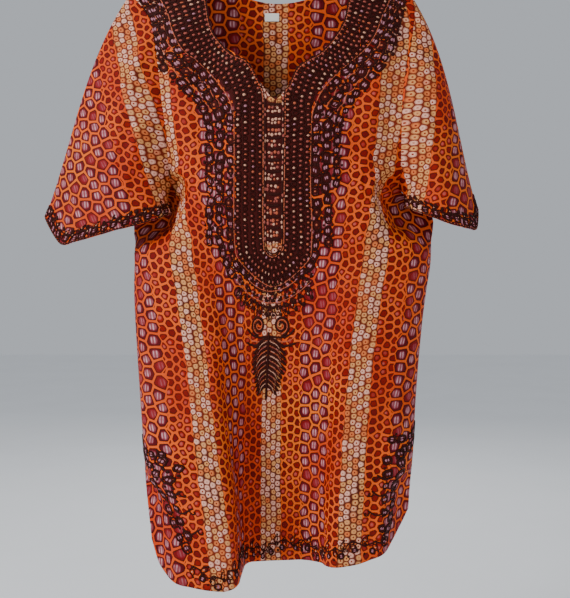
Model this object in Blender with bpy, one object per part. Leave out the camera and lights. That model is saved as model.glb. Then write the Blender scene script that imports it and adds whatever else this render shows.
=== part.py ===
"""Dashiki shirt on a plain hanger, in metres, +Z up, front towards -Y.

The origin is the inside of the crown of the hanger hook. Each cloth piece is a thin wall made
from a grid of points on the hanging cloth; neighbouring pieces share their seam points and are
drawn apart by the seam gap.
"""
import math
from collections import namedtuple

import bmesh
import bpy
import numpy as np

MM = 0.001

# ---------------------------------------------------------------- driving dimensions (mm)
WALL = 1.2                # cloth wall thickness
SEAM_GAP = 0.50           # clear gap between two sewn pieces
CORNER_PULL = 3.6         # how many times wider it is where three pieces meet
SHOULDER_RADIUS = 7.4     # fold of the cloth over the hanger bar
SHOULDER_RUN = 90.0       # drop over which the cloth leaves the bar
SHOULDER_MATCH = 60.0     # drop over which front and back share their places
HALF_FLAT = 272.0         # half width of a panel laid flat
ARMPIT_Z = -446.0         # height where side seam meets armhole
ARMPIT_F = 188.0          # half width of the flat cloth at the armpit
NECK_COLUMNS_F = 134.0    # columns within this place lead up to the neck edge
EDGE_SPREAD = [0.0, 0.13, 0.36, 0.66, 1.0]    # spread of the columns beside it
SHOULDER_TIP_LEFT = -190.0    # shoulder tips on the flat cloth
SHOULDER_TIP_RIGHT = 200.0
ARMPIT_REACH = 120.0      # cloth evened out about the armpits
ARMPIT_PASSES = 6
ARMPIT_TURN = 1.0         # how far a panel keeps its own slope at the armpit point
ARMPIT_EDGE = 46.0        # strip beside the seams that keeps its place
VENT_ROW = 3              # side seams are sewn from this row up
VENT_TOP_LEFT = -843.0
VENT_TOP_RIGHT = -818.0
VENT_RUN = 110.0          # drop over which a vent opens
VENT_BACK_LEFT = (12.0, 38.0)     # back edge at an open vent: step in, place in depth
VENT_BACK_RIGHT = (-10.0, 42.0)
CLOSED_FROM = (-900.0, 70.0)      # side edges draw together above this height, over this run
CLOSED_RUN = 60.0
TUCK_FROM = (-540.0, 62.0)        # the front tucks in behind the cuffs over this run
TUCK_FADE = 30.0
TUCK_SPAN = (0.28, 0.68)          # part of the edge span the tuck takes up
LEFT_WALL = (0.10, 0.62)          # where the slope beside each ridge starts and its length
RIGHT_WALL = (0.92, 0.52)
EDGE_FADE = 30.0                  # extra folds die out this close to the side edges
NECK_MIDDLE = 8.0                 # middle of the neck
NECK_STRETCH = 1.028              # width of the worn neck over its flat width
SIDE_STEPS = [k * 0.0745 for k in range(13)] + [0.93, 0.965]    # rows from hem to armpit
SIDE_ROWS = len(SIDE_STEPS)
SHOULDER_SPANS = 4        # columns along each shoulder
SLEEVE_RINGS = 9          # rings from armhole to cuff

BAR_HALF_DEPTH = 6.0      # hanger bar, half its front-to-back size
BAR_CLEARANCE = 1.5       # bar top below the middle of the shoulder cloth
BAR_TIP_HEIGHT = 20.0     # bar height at its tips
BAR_MID_HEIGHT = 30.0     # bar height at its middle
BAR_TIP_X = 196.0         # half length of the bar
BAR_MIDDLE = 4.0          # middle of the bar
BAR_CROWN_Z = -67.0       # top of the bar below the hook
BAR_CROWN_HALF = 16.0     # flat part of that top
BAR_FALL = 0.35           # how steeply the bar falls from it
BAR_SECTIONS = 25
WIRE_RADIUS = 1.9         # hook wire
HOOK_RADIUS = 19.0        # inside radius of the hook
HOOK_SHANK = ((0, 0), (0, 6), (0.2, 12), (1.6, 19), (5.2, 26.5))    # sideways, up from the bar
HOOK_FROM = -60.0         # the loop's arc in degrees
HOOK_SWEEP = 250.0
HOOK_STEPS = 15
HOOK_FOOT_GAP = 0.4       # clear gap between the wire and the bar

LABEL_WIDTH = 21.5
LABEL_HEIGHT = 12.2
LABEL_THICK = 0.8
LABEL_F = -5.5            # middle of the label on the flat back
LABEL_TOP_Z = -169.0
LABEL_LIFT = 0.35         # clear gap between label and cloth

# ---------------------------------------------------------------- tables (mm)
Edge = namedtuple("Edge", "z f x y")
Lines = namedtuple("Lines", "z lf lx ly mx my rf rx ry")
Rim = namedtuple("Rim", "x z")
Cuff = namedtuple("Cuff", "t x y z")
Turn = namedtuple("Turn", "t head_out head_y head_up cuff_out cuff_y cuff_up")
Fold = namedtuple("Fold", "f0 z0 f1 z1 w0 w1 depth")

# side seams, hem to armpit: height, place on the flat cloth, place in space
SIDE_LEFT = [
    Edge(-1020, -272, -166, -44), Edge(-958, -272, -171, -36), Edge(-920, -272, -178, -20),
    Edge(-880, -272, -185, -2), Edge(-846, -272, -188, 8), Edge(-732, -272, -197, 14),
    Edge(-600, -272, -205, 19), Edge(-544, -272, -206, 20), Edge(-516, -271, -204, 20),
    Edge(-500, -262, -197, 20), Edge(-482, -238, -183, 19), Edge(-464, -205, -164, 15),
    Edge(-446, -180, -150, 6),
]
SIDE_RIGHT = [
    Edge(-1000, 272, 206, 12), Edge(-940, 272, 209, 10), Edge(-890, 272, 212, 8),
    Edge(-846, 272, 216, 10), Edge(-762, 272, 221, 14), Edge(-650, 272, 231, 18),
    Edge(-596, 272, 238, 19), Edge(-549, 272, 245, 20), Edge(-508, 271, 246, 20),
    Edge(-492, 262, 240, 20), Edge(-475, 238, 225, 19), Edge(-460, 212, 208, 14),
    Edge(-446, 196, 198, 6),
]
# armholes, armpit to shoulder tip
ARM_FRONT_LEFT = [
    Edge(-446, -180, -150, 6), Edge(-425, -174, -150, -8), Edge(-382, -166, -151, -22),
    Edge(-316, -157, -158, -28), Edge(-257, -158, -165, -26), Edge(-197, -166, -175, -19),
    Edge(-172, -176, -191, -12), Edge(-152, -190, -209, 0),
]
ARM_FRONT_RIGHT = [
    Edge(-446, 196, 198, 6), Edge(-425, 192, 196, -10), Edge(-389, 188, 195, -24),
    Edge(-346, 184, 195, -29), Edge(-287, 182, 199, -28), Edge(-227, 186, 211, -20),
    Edge(-180, 194, 217, -10), Edge(-157, 200, 215, 0),
]
ARM_BACK_LEFT = [
    Edge(-446, -180, -150, 6), Edge(-421, -184, -160, 20), Edge(-381, -190, -173, 30),
    Edge(-319, -193, -183, 35), Edge(-243, -191, -190, 32), Edge(-185, -189, -197, 20),
    Edge(-152, -190, -209, 0),
]
ARM_BACK_RIGHT = [
    Edge(-446, 196, 198, 6), Edge(-421, 198, 206, 20), Edge(-381, 201, 213, 30),
    Edge(-334, 202, 219, 35), Edge(-273, 202, 221, 32), Edge(-200, 200, 220, 20),
    Edge(-157, 200, 215, 0),
]
# three lines down each panel: left ridge, middle, right ridge (f is the place on the flat cloth)
FRONT_LINES = [
    Lines(-1020, -165, -62, -82, 2, 4, 165, 112, -54),
    Lines(-930, -165, -72, -79, 2, -2, 165, 115, -55),
    Lines(-860, -165, -82, -76, 2, -10, 165, 118, -57),
    Lines(-745, -165, -95, -70, 3, -28, 165, 126, -60),
    Lines(-600, -160, -108, -62, 4, -48, 160, 136, -60),
    Lines(-520, -148, -110, -54, 5, -56, 152, 140, -54),
    Lines(-484, -141, -110, -51, 5, -57, 149, 141, -51),
    Lines(-446, -134, -110, -47, 6, -58, 146, 140, -47),
    Lines(-320, -120, -113, -42, 8, -54, 126, 138, -43),
    Lines(-200, -115, -109, -36, 8, -44, 122, 138, -37),
    Lines(-100, -115, -108, -30, 8, -34, 122, 138, -30),
]
BACK_LINES = [
    Lines(-1020, -150, -92, 52, 12, 34, 150, 118, 56),
    Lines(-860, -150, -98, 54, 12, 38, 150, 124, 58),
    Lines(-600, -150, -108, 54, 10, 46, 150, 138, 56),
    Lines(-446, -146, -112, 50, 9, 50, 150, 138, 51),
    Lines(-320, -134, -124, 46, 9, 48, 140, 146, 46),
    Lines(-200, -126, -120, 40, 9, 42, 132, 144, 40),
    Lines(-100, -122, -118, 32, 9, 34, 128, 142, 32),
]
# extra cone-shaped folds of the front and back: upper and lower end, half widths, depth
FRONT_FOLDS = [
    Fold(-226, -560, -236, -1020, 18, 26, 9),
    Fold(214, -520, 214, -1020, 18, 24, 10),
    Fold(66, -640, 84, -1020, 16, 34, 9),
]
BACK_FOLDS = [
    Fold(-70, -420, -84, -1020, 22, 40, -12),
    Fold(58, -480, 78, -1020, 20, 38, -13),
    Fold(-214, -560, -214, -1020, 18, 30, -9),
    Fold(216, -560, 216, -1020, 18, 30, -9),
]
# neck edge of the front, left shoulder to right shoulder
NECK_FRONT = [
    Rim(-104, -111), Rim(-103, -112.6), Rim(-101, -118.5), Rim(-97.5, -135),
    Rim(-94, -167), Rim(-90, -199), Rim(-75, -232), Rim(-48, -252), Rim(-28, -265),
    Rim(-15, -290), Rim(8, -319), Rim(27, -300),
    Rim(39, -275), Rim(52, -265), Rim(70, -254), Rim(89, -236), Rim(110, -207),
    Rim(114.5, -172), Rim(118, -141), Rim(121.5, -123.5), Rim(123.8, -117.7), Rim(125, -116),
]
NECK_BACK_DROP = 41.0
# hem height across the flat cloth
HEM_FRONT = [
    (-272, -958), (-266, -984), (-250, -1003), (-225, -1014), (-165, -1018), (-110, -1008),
    (-30, -1004), (60, -1001), (110, -997), (165, -992), (205, -981), (235, -968),
    (258, -950), (272, -926),
]
HEM_BACK = [
    (-272, -958), (-264, -978), (-245, -993), (-205, -1001), (0, -1003), (205, -995),
    (245, -984), (264, -966), (272, -926),
]
# cuff rings: t runs round from the outer fold (0) over the front to the underarm (0.5)
CUFF_LEFT = [
    Cuff(0.00, -338, 6, -487), Cuff(0.07, -307, -28, -527), Cuff(0.16, -278, -41, -523),
    Cuff(0.27, -223, -53, -509), Cuff(0.39, -174, -50, -496), Cuff(0.46, -152, -36, -487),
    Cuff(0.50, -146, -16, -483), Cuff(0.55, -154, -1, -482), Cuff(0.66, -192, 4, -488),
    Cuff(0.76, -232, 7, -497), Cuff(0.86, -276, 11, -503), Cuff(0.95, -318, 16, -499),
]
CUFF_RIGHT = [
    Cuff(0.00, 313, 5, -474), Cuff(0.06, 306, -22, -505), Cuff(0.15, 288, -42, -504),
    Cuff(0.27, 262, -53, -499), Cuff(0.39, 230, -50, -487), Cuff(0.46, 209, -36, -478),
    Cuff(0.50, 203, -16, -474), Cuff(0.55, 211, -1, -474), Cuff(0.66, 232, 4, -480),
    Cuff(0.76, 254, 7, -487), Cuff(0.86, 280, 11, -491), Cuff(0.95, 302, 14, -488),
]

# how each line of the sleeve leaves the armhole and reaches the cuff, round from the top
TURNS = [
    Turn(0.000, 83, 0, 34, 0, 0, 0), Turn(0.125, 85, -50, 50, 0, 0, 0),
    Turn(0.250, 80, -60, 55, -5, 0, 0), Turn(0.375, 80, -30, 35, -5, 0, 0),
    Turn(0.440, 50, -15, 10, 0, 0, 0), Turn(0.500, 30, 0, -15, 0, 0, 0),
    Turn(0.560, 60, 10, 5, 0, 0, 0), Turn(0.625, 85, 30, 20, -10, 0, 0),
    Turn(0.750, 90, 60, 40, -10, -5, 0), Turn(0.875, 75, 60, 60, -5, -5, 0),
    Turn(1.000, 83, 0, 34, 0, 0, 0),
]

COLOURS = {
    "front": (0.42, 0.11, 0.04, 1.0), "back": (0.40, 0.10, 0.04, 1.0),
    "sleeve_left": (0.42, 0.11, 0.04, 1.0), "sleeve_right": (0.42, 0.11, 0.04, 1.0),
    "neck_label": (0.86, 0.85, 0.82, 1.0), "hanger_bar": (0.47, 0.30, 0.16, 1.0),
    "hanger_hook": (0.62, 0.62, 0.63, 1.0),
}


# ---------------------------------------------------------------- small maths
def smooth(t):
    """Ease from 0 to 1."""
    t = min(max(t, 0.0), 1.0)
    return t * t * (3.0 - 2.0 * t)


def curve(xs, ys, x):
    """Monotone cubic through the points (xs rising)."""
    n = len(xs)
    if x <= xs[0]:
        return ys[0]
    if x >= xs[-1]:
        return ys[-1]
    i = 0
    while x > xs[i + 1]:
        i += 1
    slopes = [(ys[k + 1] - ys[k]) / (xs[k + 1] - xs[k]) for k in range(n - 1)]

    def tangent(k):
        if k in (0, n - 1):
            return slopes[0] if k == 0 else slopes[-1]
        a, b = slopes[k - 1], slopes[k]
        return 0.0 if a * b <= 0 else 2.0 * a * b / (a + b)

    h = xs[i + 1] - xs[i]
    t = (x - xs[i]) / h
    a, b = tangent(i) * h, tangent(i + 1) * h
    t2, t3 = t * t, t * t * t
    return ((2 * t3 - 3 * t2 + 1) * ys[i] + (t3 - 2 * t2 + t) * a
            + (3 * t2 - 2 * t3) * ys[i + 1] + (t3 - t2) * b)


def column(rows, key, name, x):
    """Value of a named column at x along the key column, rows in either order."""
    rows = sorted(rows, key=lambda r: getattr(r, key))
    return curve([getattr(r, key) for r in rows], [getattr(r, name) for r in rows], x)


def unit(v):
    """Unit vectors along the last axis."""
    return v / np.maximum(np.linalg.norm(v, axis=-1, keepdims=True), 1e-12)


# ---------------------------------------------------------------- the hanging cloth
def roof(f):
    """Height of the shoulder line over a place on the flat cloth."""
    if f < 0:
        return curve([-190, -109, 0], [-152, -111, -68], f)
    return curve([0, 114, 200], [-68, -116, -157], f)


def span_x(x0, x1, width, rise, shape, t):
    """Place across a span when the cloth keeps its length over a slope of the given shape."""
    steps = 20
    total = [0.0]
    for k in range(steps):
        a, b = k / steps, (k + 1) / steps
        slope = (shape(b) - shape(a)) * steps * rise / width
        total.append(total[-1] + math.sqrt(max(0.03, 1.0 - slope * slope)))
    place = t * steps
    k = min(int(place), steps - 1)
    part = total[k] + (total[k + 1] - total[k]) * (place - k)
    return x0 + (x1 - x0) * part / total[-1]


def cloth_point(panel, f, z):
    """A point of a panel from its place on the cloth; the two panels agree at the shoulders."""
    x, y, z = panel_point(panel, f, z)
    near = 1.0 - smooth((roof(f) - z) / SHOULDER_MATCH)
    if panel == "back" and near > 0.0 and z > ARMPIT_Z:
        x += (panel_point("front", f, z)[0] - x) * near
    return (x, y, z)


def panel_point(panel, f, z):
    """A point of the front or back panel from its place (f, z) on the cloth."""
    front = panel == "front"
    if z < ARMPIT_Z:
        left_rows, right_rows = SIDE_LEFT, SIDE_RIGHT
    elif front:
        left_rows, right_rows = ARM_FRONT_LEFT, ARM_FRONT_RIGHT
    else:
        left_rows, right_rows = ARM_BACK_LEFT, ARM_BACK_RIGHT
    left = [column(left_rows, "z", k, z) for k in "fxy"]
    right = [column(right_rows, "z", k, z) for k in "fxy"]
    rows = FRONT_LINES if front else BACK_LINES
    lf, lx, ly, mx, my, rf, rx, ry = [column(rows, "z", k, z) for k in Lines._fields[1:]]
    if not front:
        # below the vents the back edge hangs clear of the front edge
        for edge, top, (step, depth) in ((left, VENT_TOP_LEFT, VENT_BACK_LEFT),
                                         (right, VENT_TOP_RIGHT, VENT_BACK_RIGHT)):
            opened = smooth((top - z) / VENT_RUN)
            edge[1] += step * opened
            edge[2] += (depth - edge[2]) * opened
    fade_start = ARMPIT_Z - (20.0 if front else 75.0)
    closed = smooth((z - CLOSED_FROM[0]) / CLOSED_FROM[1])
    closed *= 1.0 - smooth((z - fade_start) / CLOSED_RUN)
    power = 1.25 - 0.5 * closed
    tuck = 0.0
    if front:
        tuck = smooth((z - TUCK_FROM[0]) / TUCK_FROM[1])
        tuck *= 1.0 - smooth((z - ARMPIT_Z) / TUCK_FADE)

    def edge_shape(t):
        round_side = math.sin(0.5 * math.pi * min(max(t, 0.0), 1.0)) ** power
        return round_side * (1.0 - tuck) + smooth((t - TUCK_SPAN[0]) / TUCK_SPAN[1]) * tuck

    def left_wall(t):
        return smooth((t - LEFT_WALL[0]) / LEFT_WALL[1])

    def right_wall(t):
        return 1.0 - smooth((RIGHT_WALL[0] - t) / RIGHT_WALL[1])

    if f <= lf:
        fa, xa, ya, fb, xb, yb, shape = left[0], left[1], left[2], lf, lx, ly, edge_shape
        t = (f - fa) / (fb - fa)
    elif f <= 0:
        fa, xa, ya, fb, xb, yb, shape = lf, lx, ly, 0.0, mx, my, left_wall
        t = (f - fa) / (fb - fa)
    elif f <= rf:
        fa, xa, ya, fb, xb, yb, shape = 0.0, mx, my, rf, rx, ry, right_wall
        t = (f - fa) / (fb - fa)
    else:
        fa, xa, ya, fb, xb, yb, shape = right[0], right[1], right[2], rf, rx, ry, edge_shape
        t = (fa - f) / (fa - fb)
    t = min(max(t, 0.0), 1.0)
    y = ya + (yb - ya) * shape(t)
    x = span_x(xa, xb, abs(fb - fa), abs(yb - ya), shape, t)
    edge_fade = smooth((f - left[0]) / EDGE_FADE) * smooth((right[0] - f) / EDGE_FADE)
    for fold in (FRONT_FOLDS if front else BACK_FOLDS):
        run = (z - fold.z0) / (fold.z1 - fold.z0)
        if run <= 0:
            continue
        centre = fold.f0 + (fold.f1 - fold.f0) * run
        half = fold.w0 + (fold.w1 - fold.w0) * run
        near = max(0.0, 1.0 - ((f - centre) / half) ** 2)
        y -= (1 if front else -1) * fold.depth * near * near * run * edge_fade
    drop = roof(f) - z
    inward = min(max(drop / SHOULDER_RADIUS, 0.0), 1.0)
    wrap = SHOULDER_RADIUS * math.sqrt(max(0.0, 1.0 - (1.0 - inward) ** 2))
    side = -1.0 if front else 1.0
    if z > ARMPIT_Z:
        away = smooth((drop - 0.4 * SHOULDER_RADIUS) / SHOULDER_RUN)
        y = side * min(side * y, wrap + max(side * y - SHOULDER_RADIUS, 0.0) * away)
    return (x, y, z)


# ---------------------------------------------------------------- panel grids
def upper_rows():
    """Fractions up the armhole, closer together over the shoulder."""
    spans = 11
    return [k / spans for k in range(1, spans)] + [0.952, 0.976, 0.988, 0.996, 1.0]


def neck_table(panel):
    """Neck edge points (f, z) from left to right."""
    count = len(NECK_FRONT)
    if panel == "front":
        return [((r.x - NECK_MIDDLE) / NECK_STRETCH, r.z) for r in NECK_FRONT]
    left = (NECK_FRONT[0].x - NECK_MIDDLE) / NECK_STRETCH
    right = (NECK_FRONT[-1].x - NECK_MIDDLE) / NECK_STRETCH
    out = []
    for k in range(count):
        t = 0.5 - 0.5 * math.cos(math.pi * k / (count - 1))
        bend = (1.0 - (2 * t - 1) ** 2) ** 0.85
        base = NECK_FRONT[0].z + (NECK_FRONT[-1].z - NECK_FRONT[0].z) * t
        out.append((left + (right - left) * t, base - NECK_BACK_DROP * bend))
    return out


def top_edge(panel):
    """Shoulder, neck and shoulder, as (f, z) for each column."""
    neck = neck_table(panel)
    out = []
    for k in range(SHOULDER_SPANS):
        f = SHOULDER_TIP_LEFT + (neck[0][0] - SHOULDER_TIP_LEFT) * k / SHOULDER_SPANS
        out.append((f, roof(f)))
    out += neck
    for k in range(1, SHOULDER_SPANS + 1):
        f = neck[-1][0] + (SHOULDER_TIP_RIGHT - neck[-1][0]) * k / SHOULDER_SPANS
        out.append((f, roof(f)))
    return out


def column_places(panel):
    """Place of each column at the armpit level, spread by the length of the neck edge."""
    top = top_edge(panel)
    first, last = SHOULDER_SPANS, len(top) - 1 - SHOULDER_SPANS
    runs = [0.0]
    for j in range(first, last):
        runs.append(runs[-1] + math.dist(top[j], top[j + 1]))
    out = [-ARMPIT_F + (ARMPIT_F - NECK_COLUMNS_F) * k for k in EDGE_SPREAD]
    for j in range(1, last - first):
        even = j / (last - first)
        out.append(NECK_COLUMNS_F * (2.0 * (0.35 * even + 0.65 * runs[j] / runs[-1]) - 1.0))
    return out + [ARMPIT_F - (ARMPIT_F - NECK_COLUMNS_F) * k for k in reversed(EDGE_SPREAD)]


def panel_grid(panel):
    """Places (f, z) and points of a panel, rows from hem to shoulder, left to right."""
    top = top_edge(panel)
    base = column_places(panel)
    count = len(top)
    hem = HEM_FRONT if panel == "front" else HEM_BACK
    arm_l = ARM_FRONT_LEFT if panel == "front" else ARM_BACK_LEFT
    arm_r = ARM_FRONT_RIGHT if panel == "front" else ARM_BACK_RIGHT
    places = []
    for i in range(SIDE_ROWS):
        row = []
        for j in range(count):
            low_f = base[j] * HALF_FLAT / ARMPIT_F
            low_z = curve([h[0] for h in hem], [h[1] for h in hem], low_f)
            z = low_z + (ARMPIT_Z - low_z) * SIDE_STEPS[i]
            f0, f1 = column(SIDE_LEFT, "z", "f", z), column(SIDE_RIGHT, "z", "f", z)
            row.append((f0 + (f1 - f0) * (low_f + HALF_FLAT) / (2 * HALF_FLAT), z))
        places.append(row)
    first, last = SHOULDER_SPANS, count - 1 - SHOULDER_SPANS
    pit_l, pit_r = arm_l[0].f, arm_r[0].f
    base = [pit_l + (pit_r - pit_l) * (f + ARMPIT_F) / (2 * ARMPIT_F) for f in base]
    for v in [0.0] + upper_rows():
        ease = smooth(v ** 0.8)
        row = [(base[j] + (top[j][0] - base[j]) * ease, ARMPIT_Z + (top[j][1] - ARMPIT_Z) * v)
               for j in range(count)]
        z_l = ARMPIT_Z + (arm_l[-1].z - ARMPIT_Z) * v
        z_r = ARMPIT_Z + (arm_r[-1].z - ARMPIT_Z) * v
        f_l, f_r = column(arm_l, "z", "f", z_l), column(arm_r, "z", "f", z_r)
        for k in range(SHOULDER_SPANS):
            part = EDGE_SPREAD[k] * (1 - ease) + ease * k / SHOULDER_SPANS
            z_in_l, z_in_r = row[k][1], row[count - 1 - k][1]
            row[k] = (f_l + (row[first][0] - f_l) * part, z_in_l if k else z_l)
            row[count - 1 - k] = (f_r + (row[last][0] - f_r) * part, z_in_r if k else z_r)
        places.append(row)
    points = [[cloth_point(panel, f, z) for f, z in row] for row in places]
    return relax_armpits(np.array(places), np.array(points))


def armpit_share(points):
    """How much each grid point belongs to the cloth about an armpit, from 0 to 1."""
    share = np.zeros(points.shape[:2])
    for col in (0, -1):
        away = np.linalg.norm(points - points[SIDE_ROWS, col], axis=2)
        edge = np.linalg.norm(points - points[:, [col]], axis=2)
        near = np.vectorize(smooth)(1.0 - away / ARMPIT_REACH)
        share = np.maximum(share, near * np.vectorize(smooth)(edge / ARMPIT_EDGE))
    return share


def relax_armpits(places, points):
    """Even out the cloth about the armpits; the edges stay, points and places move alike."""
    share = armpit_share(points)[1:-1, 1:-1, None] * 0.5
    both = np.concatenate([places, points], axis=2)
    for _ in range(ARMPIT_PASSES):
        mean = 0.25 * (both[:-2, 1:-1] + both[2:, 1:-1] + both[1:-1, :-2] + both[1:-1, 2:])
        both[1:-1, 1:-1] += (mean - both[1:-1, 1:-1]) * share
    return both[..., :2], both[..., 2:]


# ---------------------------------------------------------------- sleeve grids
def cuff_point(cuff, t):
    """Point of the cuff ring at t, smooth and closed."""
    ts = [c.t for c in cuff]
    pts = [np.array((c.x, c.y, c.z), float) for c in cuff]
    n = len(ts)
    t = t % 1.0
    i = max(k for k in range(n) if ts[k] <= t + 1e-9)
    nxt = (i + 1) % n
    t1 = ts[nxt] if nxt else 1.0
    h = t1 - ts[i]
    s = (t - ts[i]) / h
    before = pts[i - 1]
    after = pts[(nxt + 1) % n]
    a = (pts[nxt] - before) * 0.42
    b = (after - pts[i]) * 0.42
    s2, s3 = s * s, s * s * s
    return ((2 * s3 - 3 * s2 + 1) * pts[i] + (s3 - 2 * s2 + s) * a
            + (3 * s2 - 2 * s3) * pts[nxt] + (s3 - s2) * b)


def sleeve_grid(front, back, cuff, side):
    """Rings from armhole to cuff; the first ring is the armhole of the two panels."""
    col = 0 if side < 0 else front.shape[1] - 1
    arm_front = front[SIDE_ROWS:, col][::-1]
    arm_back = back[SIDE_ROWS:, col]
    head = np.concatenate([arm_front, arm_back[1:-1]])
    half = len(arm_front) - 1
    lengths = [0.0]
    for k in range(half):
        lengths.append(lengths[-1] + float(np.linalg.norm(arm_front[k + 1] - arm_front[k])))
    ts = [0.5 * v / lengths[-1] for v in lengths]
    lengths = [0.0]
    for k in range(half):
        lengths.append(lengths[-1] + float(np.linalg.norm(arm_back[k + 1] - arm_back[k])))
    ts += [0.5 + 0.5 * v / lengths[-1] for v in lengths[1:-1]]
    rings = []
    for r in range(SLEEVE_RINGS):
        s = (r / (SLEEVE_RINGS - 1)) ** 1.25
        ring = []
        for k, t in enumerate(ts):
            end = cuff_point(cuff, t)
            run = end - head[k]
            turn = Turn(t, *[column(TURNS, "t", key, t) for key in Turn._fields[1:]])
            leave = run + np.array((side * turn.head_out, turn.head_y, turn.head_up))
            reach = run + np.array((side * turn.cuff_out, turn.cuff_y, turn.cuff_up))
            s2, s3 = s * s, s * s * s
            p = ((2 * s3 - 3 * s2 + 1) * head[k] + (s3 - 2 * s2 + s) * leave
                 + (3 * s2 - 2 * s3) * end + (s3 - s2) * reach)
            ring.append(p)
        rings.append(ring)
    return np.array(rings), half


# ---------------------------------------------------------------- normals and seams
def panel_normals(panel, places, points):
    """Outward unit normals of a panel at its (f, z) places, from the grid about the armpits."""
    out = []
    side = 1.0 if panel == "front" else -1.0
    for row in places:
        line = []
        for f, z in row:
            a = np.array(cloth_point(panel, f + 0.8, z)) - np.array(cloth_point(panel, f - 0.8, z))
            b = np.array(cloth_point(panel, f, z + 0.8)) - np.array(cloth_point(panel, f, z - 0.8))
            line.append(np.cross(a, b) * side)
        out.append(line)
    share = np.minimum(1.0, 2.0 * armpit_share(points))[..., None]
    return unit(unit(np.array(out)) * (1.0 - share) + grid_normals(points) * side * share)


def grid_normals(grid, closed=False):
    """Unit normals of a grid, rows x columns, outward for left-to-right and upward grids."""
    if closed:
        across = np.roll(grid, -1, axis=1) - np.roll(grid, 1, axis=1)
    else:
        across = np.gradient(grid, axis=1)
    along = np.gradient(grid, axis=0)
    return unit(np.cross(across, along))


def draw_apart(piece, index, inward_index, times=1.0):
    """Move a seam point into its own piece by half the seam gap, or some times that."""
    p = piece["points"][index]
    n = piece["normals"][index]
    inward = piece["points"][inward_index] - p
    inward = inward - n * float(np.dot(inward, n))
    length = float(np.linalg.norm(inward))
    if length > 1e-9:
        piece["shift"][index] += inward / length * 0.5 * SEAM_GAP * times


def join_seams(pieces, seams):
    """Give seam points the same normal on both pieces, then draw them apart."""
    groups = {}
    for a, ia, b, ib in seams:
        key_a, key_b = (a, ia), (b, ib)
        merged = groups.get(key_a, {key_a}) | groups.get(key_b, {key_b})
        for key in merged:
            groups[key] = merged
    done = set()
    for merged in groups.values():
        if id(merged) in done:
            continue
        done.add(id(merged))
        total = sum(pieces[name]["normals"][idx] for name, idx in merged)
        mean = total / max(np.linalg.norm(total), 1e-12)
        for name, idx in merged:
            pieces[name]["normals"][idx] = mean


# ---------------------------------------------------------------- solids
def wall_mesh(name, points, normals, closed):
    """A closed wall of even thickness about a grid of points (mm)."""
    rows, cols = points.shape[:2]
    half = 0.5 * WALL
    outer = (points + normals * half).reshape(-1, 3)
    inner = (points - normals * half).reshape(-1, 3)
    verts = np.concatenate([outer, inner]) * MM
    mid = points.reshape(-1, 3)
    faces = []
    base = rows * cols
    last = cols if closed else cols - 1
    for i in range(rows - 1):
        for j in range(last):
            a, b = i * cols + j, i * cols + (j + 1) % cols
            c, d = a + cols, b + cols
            short = np.linalg.norm(mid[b] - mid[c]) <= np.linalg.norm(mid[a] - mid[d])
            for p, q, r in (((a, b, c), (b, d, c)) if short else ((a, b, d), (a, d, c))):
                faces += [(p, q, r), (base + p, base + r, base + q)]
    for j in range(last):
        a, b = j, (j + 1) % cols
        faces.append((a, base + a, base + b, b))
        a, b = (rows - 1) * cols + j, (rows - 1) * cols + (j + 1) % cols
        faces.append((a, b, base + b, base + a))
    if not closed:
        for i in range(rows - 1):
            a, b = i * cols, (i + 1) * cols
            faces.append((a, b, base + b, base + a))
            a, b = i * cols + cols - 1, (i + 1) * cols + cols - 1
            faces.append((a, base + a, base + b, b))
    return make_object(name, [tuple(v) for v in verts], faces)


def make_object(name, verts, faces):
    """An object in the part's collection, faces outward, shaded smooth."""
    mesh = bpy.data.meshes.new(name)
    mesh.from_pydata(verts, [], faces)
    bm = bmesh.new()
    bm.from_mesh(mesh)
    bmesh.ops.recalc_face_normals(bm, faces=bm.faces)
    bmesh.ops.triangulate(bm, faces=[f for f in bm.faces if len(f.verts) > 3])
    bm.to_mesh(mesh)
    bm.free()
    for poly in mesh.polygons:
        poly.use_smooth = True
    obj = bpy.data.objects.new(name, mesh)
    PARTS.objects.link(obj)
    mesh.materials.append(material(name))
    return obj


def material(name):
    """Plain material of one piece."""
    mat = bpy.data.materials.new("mat_" + name)
    mat.use_nodes = True
    shader = mat.node_tree.nodes["Principled BSDF"]
    shader.inputs["Base Color"].default_value = COLOURS[name]
    metal = name == "hanger_hook"
    shader.inputs["Metallic"].default_value = 1.0 if metal else 0.0
    shader.inputs["Roughness"].default_value = 0.32 if metal else (0.5 if "hanger" in name else 0.85)
    mat.diffuse_color = COLOURS[name]
    return mat


def corners(name, rows, cols, half):
    """Grid places where three pieces or a vent end meet."""
    if name.startswith("sleeve"):
        return ((0, 0), (0, half))
    ends = (rows - 1, SIDE_ROWS, VENT_ROW)
    return tuple((i, j) for i in ends for j in (0, cols - 1))


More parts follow.
